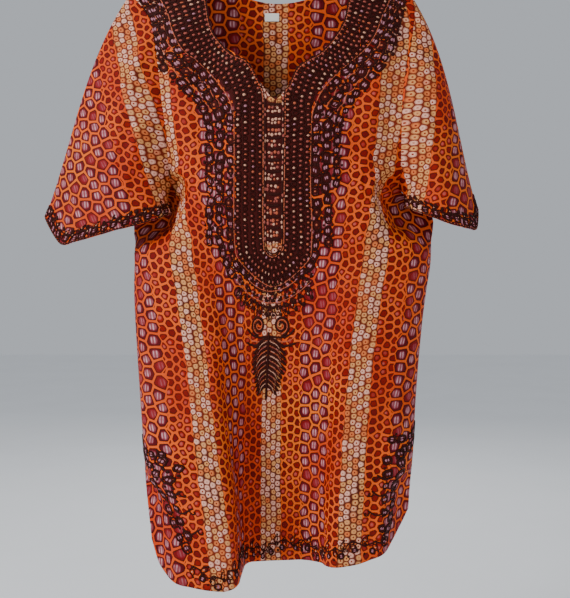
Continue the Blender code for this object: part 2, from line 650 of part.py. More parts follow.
def build_cloth():
    """Front, back and sleeves as four walls that meet at their seams."""
    front_places, front = panel_grid("front")
    back_places, back = panel_grid("back")
    left, half = sleeve_grid(front, back, CUFF_LEFT, -1)
    right, _ = sleeve_grid(front, back, CUFF_RIGHT, 1)
    pieces = {}
    for name, grid, normals, closed in (
            ("front", front, panel_normals("front", front_places, front), False),
            ("back", back, panel_normals("back", back_places, back), False),
            ("sleeve_left", left, -grid_normals(left, True), True),
            ("sleeve_right", right, grid_normals(right, True), True)):
        pieces[name] = {"points": grid, "normals": normals,
                        "shift": np.zeros_like(grid), "closed": closed}
    rows, cols = front.shape[:2]
    ring = left.shape[1]
    seams, pulls = [], []

    def pull(name, index, inward):
        times = CORNER_PULL if index in corners(name, rows, cols, half) else 1.0
        pulls.append((name, index, inward, times))

    for i in range(VENT_ROW, SIDE_ROWS + 1):
        for j, k in ((0, 1), (cols - 1, cols - 2)):
            seams.append(("front", (i, j), "back", (i, j)))
            pull("front", (i, j), (i, k))
            pull("back", (i, j), (i, k))
    for j in list(range(SHOULDER_SPANS + 1)) + list(range(cols - 1 - SHOULDER_SPANS, cols)):
        seams.append(("front", (rows - 1, j), "back", (rows - 1, j)))
        pull("front", (rows - 1, j), (rows - 2, j))
        pull("back", (rows - 1, j), (rows - 2, j))
    for name, j, k in (("sleeve_left", 0, 1), ("sleeve_right", cols - 1, cols - 2)):
        for n in range(ring):
            if n <= half:
                i = rows - 1 - n
                seams.append(("front", (i, j), name, (0, n)))
                pull("front", (i, j), (i, k))
            if n >= half or n == 0:
                i = SIDE_ROWS + n - half if n else rows - 1
                seams.append(("back", (i, j), name, (0, n)))
                pull("back", (i, j), (i, k))
            pull(name, (0, n), (1, n))
    join_seams(pieces, seams)
    for name in ("front", "back"):
        for j, k in ((0, 1), (cols - 1, cols - 2)):
            normals = pieces[name]["normals"]
            own = normals[SIDE_ROWS, k] + normals[SIDE_ROWS - 1, j]
            normals[SIDE_ROWS, j] = unit(normals[SIDE_ROWS, j] + own * ARMPIT_TURN)
    for name, index, inward, times in pulls:
        draw_apart(pieces[name], index, inward, times)
    for name, piece in pieces.items():
        piece["points"] = piece["points"] + piece["shift"]
        wall_mesh(name, piece["points"], piece["normals"], piece["closed"])
    return pieces


def build_label():
    """A blank label on the inside of the back, below the neck edge."""
    verts = []
    cols, rows = 5, 3
    for lift in (0.5 * WALL + LABEL_LIFT, 0.5 * WALL + LABEL_LIFT + LABEL_THICK):
        for i in range(rows):
            for j in range(cols):
                f = LABEL_F + (j / (cols - 1) - 0.5) * LABEL_WIDTH
                z = LABEL_TOP_Z - i / (rows - 1) * LABEL_HEIGHT
                x, y, z = cloth_point("back", f, z)
                verts.append((x * MM, (y - lift) * MM, z * MM))
    base = rows * cols
    faces = []
    for i in range(rows - 1):
        for j in range(cols - 1):
            a = i * cols + j
            faces.append((a, a + 1, a + cols + 1, a + cols))
            faces.append((base + a, base + a + cols, base + a + cols + 1, base + a + 1))
    ring = list(range(cols)) + [i * cols + cols - 1 for i in range(1, rows)]
    ring += [(rows - 1) * cols + j for j in range(cols - 2, -1, -1)]
    ring += [i * cols for i in range(rows - 2, 0, -1)]
    for k, a in enumerate(ring):
        b = ring[(k + 1) % len(ring)]
        faces.append((a, base + a, base + b, b))
    make_object("neck_label", verts, faces)


def shoulder_line():
    """Points (x, z) of the shoulder line from tip to tip."""
    out = []
    steps = 30
    for k in range(steps + 1):
        f = SHOULDER_TIP_LEFT + (SHOULDER_TIP_RIGHT - SHOULDER_TIP_LEFT) * k / steps
        z = roof(f)
        out.append((cloth_point("front", f, z - 1.0)[0], z))
    return sorted(out)


SHOULDERS = shoulder_line()


def bar_top(x):
    """Top of the hanger bar below the shoulder cloth."""
    line = curve([p[0] for p in SHOULDERS], [p[1] for p in SHOULDERS], x)
    beside = max(0.0, abs(x - BAR_MIDDLE) - BAR_CROWN_HALF)
    return min(line - BAR_CLEARANCE, BAR_CROWN_Z - BAR_FALL * beside)


def build_bar():
    """The hanger bar: a rounded section carried from tip to tip."""
    ring_count = 12
    verts, faces = [], []
    for i in range(BAR_SECTIONS):
        u = -1 + 2 * i / (BAR_SECTIONS - 1)
        x = BAR_MIDDLE + u * BAR_TIP_X
        height = BAR_MID_HEIGHT + (BAR_TIP_HEIGHT - BAR_MID_HEIGHT) * abs(u)
        shrink = math.sqrt(max(0.12, 1 - max(0.0, (abs(u) - 0.93) / 0.07) ** 2))
        top = bar_top(x)
        r = BAR_HALF_DEPTH * shrink
        for k in range(ring_count):
            a = 2 * math.pi * (k + 0.5) / ring_count
            cy, cz = r * math.cos(a), r * math.sin(a)
            low = (height - 2 * BAR_HALF_DEPTH) * shrink
            z = top - BAR_HALF_DEPTH + cz - (low if cz < 0 else 0.0)
            verts.append((x * MM, cy * MM, z * MM))
    for i in range(BAR_SECTIONS - 1):
        for k in range(ring_count):
            a, b = i * ring_count + k, i * ring_count + (k + 1) % ring_count
            faces.append((a, b, b + ring_count, a + ring_count))
    faces.append(tuple(range(ring_count)))
    faces.append(tuple(range((BAR_SECTIONS - 1) * ring_count, BAR_SECTIONS * ring_count)))
    make_object("hanger_bar", verts, faces)


def build_hook():
    """Bent wire: shank, sweep to the side and an open loop whose inside crown is the origin."""
    line_radius = HOOK_RADIUS + WIRE_RADIUS
    foot = bar_top(0) + HOOK_FOOT_GAP
    path = [(x, foot + rise) for x, rise in HOOK_SHANK]
    for k in range(HOOK_STEPS + 1):
        a = math.radians(HOOK_FROM + HOOK_SWEEP * k / HOOK_STEPS)
        path.append((line_radius * math.cos(a), -HOOK_RADIUS + line_radius * math.sin(a)))
    sides = 10
    verts, faces = [], []
    for k, (x, z) in enumerate(path):
        x0, z0 = path[max(k - 1, 0)]
        x1, z1 = path[min(k + 1, len(path) - 1)]
        dx, dz = x1 - x0, z1 - z0
        length = math.hypot(dx, dz)
        nx, nz = -dz / length, dx / length
        for s in range(sides):
            a = 2 * math.pi * s / sides
            off, y = WIRE_RADIUS * math.cos(a), WIRE_RADIUS * math.sin(a)
            verts.append(((x + nx * off) * MM, y * MM, (z + nz * off) * MM))
    for k in range(len(path) - 1):
        for s in range(sides):
            a, b = k * sides + s, k * sides + (s + 1) % sides
            faces.append((a, b, b + sides, a + sides))
    faces.append(tuple(range(sides)))
    faces.append(tuple(range((len(path) - 1) * sides, len(path) * sides)))
    make_object("hanger_hook", verts, faces)


for old in list(bpy.data.objects):
    bpy.data.objects.remove(old, do_unlink=True)
PARTS = bpy.data.collections.new("dashiki_shirt_on_hanger")
bpy.context.scene.collection.children.link(PARTS)
build_cloth()
build_label()
build_bar()
build_hook()
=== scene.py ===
"""Dashiki shirt on a plain hanger: the cloth, print, embroidery, hanger, light and camera."""
import logging
import math
from collections import namedtuple
from dataclasses import dataclass, field
from enum import Enum, IntEnum
from typing import Sequence

import bpy
import numpy as np
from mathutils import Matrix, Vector

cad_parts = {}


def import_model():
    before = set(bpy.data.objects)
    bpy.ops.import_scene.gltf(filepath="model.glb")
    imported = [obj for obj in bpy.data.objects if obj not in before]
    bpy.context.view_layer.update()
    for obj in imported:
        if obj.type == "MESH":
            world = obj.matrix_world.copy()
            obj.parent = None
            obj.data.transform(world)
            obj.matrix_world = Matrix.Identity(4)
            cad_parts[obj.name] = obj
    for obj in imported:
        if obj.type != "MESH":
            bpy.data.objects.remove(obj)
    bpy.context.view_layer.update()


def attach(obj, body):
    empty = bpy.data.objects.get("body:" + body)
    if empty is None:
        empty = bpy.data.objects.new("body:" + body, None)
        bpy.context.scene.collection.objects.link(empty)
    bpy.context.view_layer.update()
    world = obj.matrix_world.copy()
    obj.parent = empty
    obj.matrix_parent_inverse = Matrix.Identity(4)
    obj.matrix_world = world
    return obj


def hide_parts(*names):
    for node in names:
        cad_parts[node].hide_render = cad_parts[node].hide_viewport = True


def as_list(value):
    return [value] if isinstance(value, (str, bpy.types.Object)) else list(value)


LOG = logging.getLogger("dashiki")
MM = 0.001

# --- cut and drape (mm)
HALF_FLAT = 272.0
SHOULDER_RADIUS = 7.4
SHOULDER_RUN = 90.0
SHOULDER_MATCH = 60.0
ARMPIT_Z = -446.0
ARMPIT_F = 188.0
NECK_COLUMNS_F = 134.0
EDGE_SPREAD = (0.0, 0.13, 0.36, 0.66, 1.0)
SHOULDER_TIP_LEFT = -190.0
SHOULDER_TIP_RIGHT = 200.0
ARMPIT_REACH = 120.0
ARMPIT_PASSES = 6
ARMPIT_EDGE = 46.0
VENT_ROW = 3
VENT_TOP_LEFT = -843.0
VENT_TOP_RIGHT = -818.0
VENT_RUN = 110.0
VENT_BACK_LEFT = (12.0, 38.0)
VENT_BACK_RIGHT = (-10.0, 42.0)
CLOSED_FROM = (-900.0, 70.0)
CLOSED_RUN = 60.0
CLOSED_GAP_FRONT = 20.0
CLOSED_GAP_BACK = 75.0
TUCK_FROM = (-540.0, 62.0)
TUCK_FADE = 30.0
TUCK_SPAN = (0.28, 0.68)
LEFT_WALL = (0.10, 0.62)
RIGHT_WALL = (0.92, 0.52)
EDGE_FADE = 30.0
NECK_MIDDLE = 8.0
NECK_STRETCH = 1.028
SIDE_STEPS = [k * 0.0745 for k in range(13)] + [0.93, 0.965]
SIDE_ROWS = len(SIDE_STEPS)
SHOULDER_SPANS = 4
NECK_BACK_DROP = 41.0
NECK_BACK_BEND = 0.85
CUFF_PULL = 0.42  # how full the curve round a cuff is
EVEN_SHARE = 0.35  # how evenly the columns below the neck are spread
CHEST_STEPS = [k / 11 for k in range(11)] + [0.952, 0.976, 0.988, 0.996, 1.0]
WALL_STEPS = 20
LEAST_RUN = 0.03
CLOTH_LOW = -1035.0
CLOTH_HIGH = -60.0

Edge = namedtuple("Edge", "z f x y")
Lines = namedtuple("Lines", "z lf lx ly mx my rf rx ry")
Rim = namedtuple("Rim", "x z")
Cuff = namedtuple("Cuff", "t x y z")
Turn = namedtuple("Turn", "t head_out head_y head_up cuff_out cuff_y cuff_up")
Fold = namedtuple("Fold", "f0 z0 f1 z1 w0 w1 depth")


def table(kind: type, *rows: tuple) -> list:
    """Named rows from plain ones."""
    return [kind(*row) for row in rows]


# side seams, hem to armpit: height, place on the flat cloth, place in space
SIDE_LEFT = table(Edge,
    (-1020, -272, -166, -44), (-958, -272, -171, -36), (-920, -272, -178, -20),
    (-880, -272, -185, -2), (-846, -272, -188, 8), (-732, -272, -197, 14), (-600, -272, -205, 19),
    (-544, -272, -206, 20), (-516, -271, -204, 20), (-500, -262, -197, 20), (-482, -238, -183, 19),
    (-464, -205, -164, 15), (-446, -180, -150, 6))
SIDE_RIGHT = table(Edge,
    (-1000, 272, 206, 12), (-940, 272, 209, 10), (-890, 272, 212, 8), (-846, 272, 216, 10),
    (-762, 272, 221, 14), (-650, 272, 231, 18), (-596, 272, 238, 19), (-549, 272, 245, 20),
    (-508, 271, 246, 20), (-492, 262, 240, 20), (-475, 238, 225, 19), (-460, 212, 208, 14),
    (-446, 196, 198, 6))
# armholes, armpit to shoulder tip
ARM_FRONT_LEFT = table(Edge,
    (-446, -180, -150, 6), (-425, -174, -150, -8), (-382, -166, -151, -22),
    (-316, -157, -158, -28), (-257, -158, -165, -26), (-197, -166, -175, -19),
    (-172, -176, -191, -12), (-152, -190, -209, 0))
ARM_FRONT_RIGHT = table(Edge,
    (-446, 196, 198, 6), (-425, 192, 196, -10), (-389, 188, 195, -24), (-346, 184, 195, -29),
    (-287, 182, 199, -28), (-227, 186, 211, -20), (-180, 194, 217, -10), (-157, 200, 215, 0))
ARM_BACK_LEFT = table(Edge,
    (-446, -180, -150, 6), (-421, -184, -160, 20), (-381, -190, -173, 30), (-319, -193, -183, 35),
    (-243, -191, -190, 32), (-185, -189, -197, 20), (-152, -190, -209, 0))
ARM_BACK_RIGHT = table(Edge,
    (-446, 196, 198, 6), (-421, 198, 206, 20), (-381, 201, 213, 30), (-334, 202, 219, 35),
    (-273, 202, 221, 32), (-200, 200, 220, 20), (-157, 200, 215, 0))
# three lines down each panel: left ridge, middle, right ridge (f is the place on the flat cloth)
FRONT_LINES = table(Lines,
    (-1020, -165, -62, -82, 2, 4, 165, 112, -54), (-930, -165, -72, -79, 2, -2, 165, 115, -55),
    (-860, -165, -82, -76, 2, -10, 165, 118, -57), (-745, -165, -95, -70, 3, -28, 165, 126, -60),
    (-600, -160, -108, -62, 4, -48, 160, 136, -60), (-520, -148, -110, -54, 5, -56, 152, 140, -54),
    (-484, -141, -110, -51, 5, -57, 149, 141, -51), (-446, -134, -110, -47, 6, -58, 146, 140, -47),
    (-320, -120, -113, -42, 8, -54, 126, 138, -43), (-200, -115, -109, -36, 8, -44, 122, 138, -37),
    (-100, -115, -108, -30, 8, -34, 122, 138, -30))
BACK_LINES = table(Lines,
    (-1020, -150, -92, 52, 12, 34, 150, 118, 56), (-860, -150, -98, 54, 12, 38, 150, 124, 58),
    (-600, -150, -108, 54, 10, 46, 150, 138, 56), (-446, -146, -112, 50, 9, 50, 150, 138, 51),
    (-320, -134, -124, 46, 9, 48, 140, 146, 46), (-200, -126, -120, 40, 9, 42, 132, 144, 40),
    (-100, -122, -118, 32, 9, 34, 128, 142, 32))
# extra cone-shaped folds of the front and back: upper and lower end, half widths, depth
FRONT_FOLDS = table(Fold,
    (-226, -560, -236, -1020, 18, 26, 9), (214, -520, 214, -1020, 18, 24, 10),
    (66, -640, 84, -1020, 16, 34, 9))
BACK_FOLDS = table(Fold,
    (-70, -420, -84, -1020, 22, 40, -12), (58, -480, 78, -1020, 20, 38, -13),
    (-214, -560, -214, -1020, 18, 30, -9), (216, -560, 216, -1020, 18, 30, -9))
# neck edge of the front, left shoulder to right shoulder
NECK_FRONT = table(Rim,
    (-104, -111), (-103, -112.6), (-101, -118.5), (-97.5, -135), (-94, -167), (-90, -199),
    (-75, -232), (-48, -252), (-28, -265), (-15, -290), (8, -319), (27, -300), (39, -275),
    (52, -265), (70, -254), (89, -236), (110, -207), (114.5, -172), (118, -141), (121.5, -123.5),
    (123.8, -117.7), (125, -116))
# hem height across the flat cloth
HEM_FRONT = [
    (-272, -958), (-266, -984), (-250, -1003), (-225, -1014), (-165, -1018), (-110, -1008),
    (-30, -1004), (60, -1001), (110, -997), (165, -992), (205, -981), (235, -968),
    (258, -950), (272, -926),
]
HEM_BACK = [
    (-272, -958), (-264, -978), (-245, -993), (-205, -1001), (0, -1003), (205, -995),
    (245, -984), (264, -966), (272, -926),
]
# cuff rings: t runs round from the outer fold (0) over the front to the underarm (0.5)
CUFF_LEFT = table(Cuff,
    (0.00, -338, 6, -487), (0.07, -307, -28, -527), (0.16, -278, -41, -523),
    (0.27, -223, -53, -509), (0.39, -174, -50, -496), (0.46, -152, -36, -487),
    (0.50, -146, -16, -483), (0.55, -154, -1, -482), (0.66, -192, 4, -488), (0.76, -232, 7, -497),
    (0.86, -276, 11, -503), (0.95, -318, 16, -499))
CUFF_RIGHT = table(Cuff,
    (0.00, 313, 5, -474), (0.06, 306, -22, -505), (0.15, 288, -42, -504), (0.27, 262, -53, -499),
    (0.39, 230, -50, -487), (0.46, 209, -36, -478), (0.50, 203, -16, -474), (0.55, 211, -1, -474),
    (0.66, 232, 4, -480), (0.76, 254, 7, -487), (0.86, 280, 11, -491), (0.95, 302, 14, -488))

# how each line of the sleeve leaves the armhole and reaches the cuff, round from the top
TURNS = table(Turn,
    (0.000, 83, 0, 34, 0, 0, 0), (0.125, 85, -50, 50, 0, 0, 0), (0.250, 80, -60, 55, -5, 0, 0),
    (0.375, 80, -30, 35, -5, 0, 0), (0.440, 50, -15, 10, 0, 0, 0), (0.500, 30, 0, -15, 0, 0, 0),
    (0.560, 60, 10, 5, 0, 0, 0), (0.625, 85, 30, 20, -10, 0, 0), (0.750, 90, 60, 40, -10, -5, 0),
    (0.875, 75, 60, 60, -5, -5, 0), (1.000, 83, 0, 34, 0, 0, 0))


# --- small maths
def smooth(t: np.ndarray) -> np.ndarray:
    """Ease from 0 to 1."""
    t = np.clip(t, 0.0, 1.0)
    return t * t * (3.0 - 2.0 * t)


def hermite(t: np.ndarray, start: np.ndarray, leave: np.ndarray, stop: np.ndarray,
            reach: np.ndarray) -> np.ndarray:
    """Cubic from start to stop that leaves by one slope and reaches by the other."""
    t2, t3 = t * t, t * t * t
    return ((2 * t3 - 3 * t2 + 1) * start + (t3 - 2 * t2 + t) * leave
            + (3 * t2 - 2 * t3) * stop + (t3 - t2) * reach)


def curve(xs: Sequence[float], ys: Sequence[float], x: np.ndarray) -> np.ndarray:
    """Monotone cubic through a short table.

    Args:
        xs: Rising places of the table.
        ys: Values at those places.
        x: Places to read.

    Returns:
        The value at each place; the ends hold.
    """
    xs, ys = np.asarray(xs, float), np.asarray(ys, float)
    slopes = np.diff(ys) / np.diff(xs)
    product = slopes[:-1] * slopes[1:]
    total = slopes[:-1] + slopes[1:]
    inner = np.where(product > 0, 2.0 * product / np.where(total == 0, 1.0, total), 0.0)
    tangents = np.concatenate([slopes[:1], inner, slopes[-1:]])
    x = np.clip(x, xs[0], xs[-1])
    i = np.clip(np.searchsorted(xs, x) - 1, 0, len(xs) - 2)
    h = xs[i + 1] - xs[i]
    return hermite((x - xs[i]) / h, ys[i], tangents[i] * h, ys[i + 1], tangents[i + 1] * h)


def column(rows: Sequence, key: str, name: str, x: np.ndarray) -> np.ndarray:
    """Value of a named column at x along the key column, rows in either order."""
    rows = sorted(rows, key=lambda r: getattr(r, key))
    return curve([getattr(r, key) for r in rows], [getattr(r, name) for r in rows], x)


def pairs_at(rows: Sequence[tuple], x: np.ndarray) -> np.ndarray:
    """Value at x of a table of (place, value) rows."""
    return curve([r[0] for r in rows], [r[1] for r in rows], x)


def unit(v: np.ndarray) -> np.ndarray:
    """Unit vectors along the last axis."""
    return v / np.maximum(np.linalg.norm(v, axis=-1, keepdims=True), 1e-12)


def runs_along(points: np.ndarray) -> np.ndarray:
    """Distance of each point from the first, along the line or down each column."""
    steps = np.linalg.norm(np.diff(points, axis=0), axis=-1)
    return np.concatenate([np.zeros((1,) + steps.shape[1:]), np.cumsum(steps, axis=0)])


def distance_to(points: np.ndarray, others: np.ndarray) -> np.ndarray:
    """Distance of each point of a grid from another."""
    return np.linalg.norm(points - others, axis=2)


def ring_closed(grid: np.ndarray) -> np.ndarray:
    """A grid of rings with the first column again at the end."""
    return np.concatenate([grid, grid[:, :1]], axis=1)


def finer(grid: np.ndarray, times: int, axis: int) -> np.ndarray:
    """A grid with more points along one axis, on smooth curves through the old ones.

    Args:
        grid: Points, any number of axes.
        times: New steps for each old one.
        axis: Axis to refine.

    Returns:
        The finer grid, which keeps both its ends.
    """
    g = np.moveaxis(grid, axis, 0)
    n = g.shape[0]
    place = np.arange((n - 1) * times + 1) / times
    i = np.minimum(place.astype(int), n - 2)
    t = (place - i).reshape((-1,) + (1,) * (g.ndim - 1))
    p1, p2 = g[i], g[i + 1]
    p0 = np.where((i == 0).reshape(t.shape), 2 * p1 - p2, g[np.maximum(i - 1, 0)])
    p3 = np.where((i == n - 2).reshape(t.shape), 2 * p2 - p1, g[np.minimum(i + 2, n - 1)])
    out = 0.5 * (2 * p1 + (p2 - p0) * t + (2 * p0 - 5 * p1 + 4 * p2 - p3) * t * t
                 + (3 * p1 - p0 - 3 * p2 + p3) * t ** 3)
    return np.moveaxis(out, 0, axis)


class Side(Enum):
    """The two body panels."""

    FRONT = "front"
    BACK = "back"


# --- the hanging cloth
@dataclass(frozen=True)
class Drape:
    """Where a place on a flat panel hangs in space."""

    side: Side

    @property
    def sign(self) -> float:
        """-1 for the front, which faces -Y, and 1 for the back."""
        return -1.0 if self.side is Side.FRONT else 1.0

    @staticmethod
    def roof(f: np.ndarray) -> np.ndarray:
        """Height of the shoulder line over a place on the flat cloth."""
        return np.where(f < 0, curve((-190, -109, 0), (-152, -111, -68), f),
                        curve((0, 114, 200), (-68, -116, -157), f))

    def edges(self, z: np.ndarray) -> tuple:
        """Left and right edge of the panel.

        Args:
            z: Heights to read.

        Returns:
            The two edges, each as place on the flat cloth, x and y.
        """
        front = self.side is Side.FRONT
        arms = (ARM_FRONT_LEFT, ARM_FRONT_RIGHT) if front else (ARM_BACK_LEFT, ARM_BACK_RIGHT)
        out = []
        for side_rows, arm_rows in zip((SIDE_LEFT, SIDE_RIGHT), arms):
            low = [column(side_rows, "z", k, z) for k in "fxy"]
            high = [column(arm_rows, "z", k, z) for k in "fxy"]
            out.append([np.where(z < ARMPIT_Z, a, b) for a, b in zip(low, high)])
        if not front:
            for edge, top, (step, depth) in ((out[0], VENT_TOP_LEFT, VENT_BACK_LEFT),
                                             (out[1], VENT_TOP_RIGHT, VENT_BACK_RIGHT)):
                opened = smooth((top - z) / VENT_RUN)
                edge[1] = edge[1] + step * opened
                edge[2] = edge[2] + (depth - edge[2]) * opened
        return out[0], out[1]

    def own_point(self, f: np.ndarray, z: np.ndarray) -> np.ndarray:
        """Points of this panel alone.

        Args:
            f: Places across the flat cloth.
            z: Their heights.

        Returns:
            The points in space.
        """
        front = self.side is Side.FRONT
        left, right = self.edges(z)
        rows = FRONT_LINES if front else BACK_LINES
        lf, lx, ly, mx, my, rf, rx, ry = [column(rows, "z", k, z) for k in Lines._fields[1:]]
        closed = smooth((z - CLOSED_FROM[0]) / CLOSED_FROM[1])
        fade_start = ARMPIT_Z - (CLOSED_GAP_FRONT if front else CLOSED_GAP_BACK)
        closed = closed * (1.0 - smooth((z - fade_start) / CLOSED_RUN))
        power = 1.25 - 0.5 * closed
        tuck = np.zeros_like(z)
        if front:
            tuck = smooth((z - TUCK_FROM[0]) / TUCK_FROM[1])
            tuck = tuck * (1.0 - smooth((z - ARMPIT_Z) / TUCK_FADE))

        zone = np.select([f <= lf, f <= 0, f <= rf], [0, 1, 2], 3)
        zero = np.zeros_like(f)
        fa = np.choose(zone, [left[0], lf, zero, right[0]])
        xa = np.choose(zone, [left[1], lx, mx, right[1]])
        ya = np.choose(zone, [left[2], ly, my, right[2]])
        fb = np.choose(zone, [lf, zero, rf, rf])
        xb = np.choose(zone, [lx, mx, rx, rx])
        yb = np.choose(zone, [ly, my, ry, ry])

        def shape(t: np.ndarray) -> np.ndarray:
            """Rise across the span, for each point's own zone.

            Args:
                t: Share of the way across it.

            Returns:
                Share of the rise there.
            """
            rounded = np.sin(0.5 * math.pi * np.clip(t, 0.0, 1.0)) ** power
            edge = rounded * (1.0 - tuck) + smooth((t - TUCK_SPAN[0]) / TUCK_SPAN[1]) * tuck
            return np.choose(zone, [edge, smooth((t - LEFT_WALL[0]) / LEFT_WALL[1]),
                                    1.0 - smooth((RIGHT_WALL[0] - t) / RIGHT_WALL[1]), edge])

        t = np.clip((f - fa) / (fb - fa), 0.0, 1.0)
        y = ya + (yb - ya) * shape(t)
        steps = WALL_STEPS
        width, rise = np.abs(fb - fa), np.abs(yb - ya)
        ends = [shape(np.full_like(f, k / steps)) for k in range(steps + 1)]
        total = [zero]
        for k in range(steps):
            slope = (ends[k + 1] - ends[k]) * steps * rise / width
            total.append(total[-1] + np.sqrt(np.maximum(LEAST_RUN, 1.0 - slope * slope)))
        total = np.array(total)
        place = t * steps
        k = np.minimum(place.astype(int), steps - 1)
        low = np.take_along_axis(total, k[None], 0)[0]
        high = np.take_along_axis(total, k[None] + 1, 0)[0]
        x = xa + (xb - xa) * (low + (high - low) * (place - k)) / total[-1]
        edge_fade = smooth((f - left[0]) / EDGE_FADE) * smooth((right[0] - f) / EDGE_FADE)
        for fold in (FRONT_FOLDS if front else BACK_FOLDS):
            run = np.maximum((z - fold.z0) / (fold.z1 - fold.z0), 0.0)
            centre = fold.f0 + (fold.f1 - fold.f0) * run
            half = fold.w0 + (fold.w1 - fold.w0) * run
            near = np.maximum(0.0, 1.0 - ((f - centre) / half) ** 2)
            y = y + self.sign * fold.depth * near * near * run * edge_fade
        drop = self.roof(f) - z
        inward = np.clip(drop / SHOULDER_RADIUS, 0.0, 1.0)
        wrap = SHOULDER_RADIUS * np.sqrt(np.maximum(0.0, 1.0 - (1.0 - inward) ** 2))
        away = smooth((drop - 0.4 * SHOULDER_RADIUS) / SHOULDER_RUN)
        out = self.sign * y
        over = np.minimum(out, wrap + np.maximum(out - SHOULDER_RADIUS, 0.0) * away)
        y = np.where(z > ARMPIT_Z, self.sign * over, y)
        return np.stack([x, y, z], axis=-1)

    def point(self, f: np.ndarray, z: np.ndarray) -> np.ndarray:
        """Points in space; the two panels agree at the shoulders.

        Args:
            f: Places across the flat cloth.
            z: Their heights.

        Returns:
            The points.
        """
        f, z = np.asarray(f, float), np.asarray(z, float)
        out = self.own_point(f, z)
        if self.side is Side.BACK:
            near = np.where(z > ARMPIT_Z, 1.0 - smooth((self.roof(f) - z) / SHOULDER_MATCH), 0.0)
            other = Drape(Side.FRONT).own_point(f, z)
            out[..., 0] += (other[..., 0] - out[..., 0]) * near
        return out


# small shifts of the body cloth by the armpits, where it meets the cuffs: place, reach, shift
EASED = (((-153.0, 11.5, -452.0), 11.0, (-5.0, 0.0, 0.0)),
         ((200.5, 11.2, -453.5), 11.0, (6.0, 0.0, 0.0)),
         ((233.0, 18.0, -486.0), 42.0, (9.5, 0.0, 6.0)),
         ((-194.0, 19.0, -490.0), 40.0, (-11.0, 0.0, 3.0)),
         ((-205.0, 19.0, -556.0), 46.0, (4.0, 0.0, 0.0)))


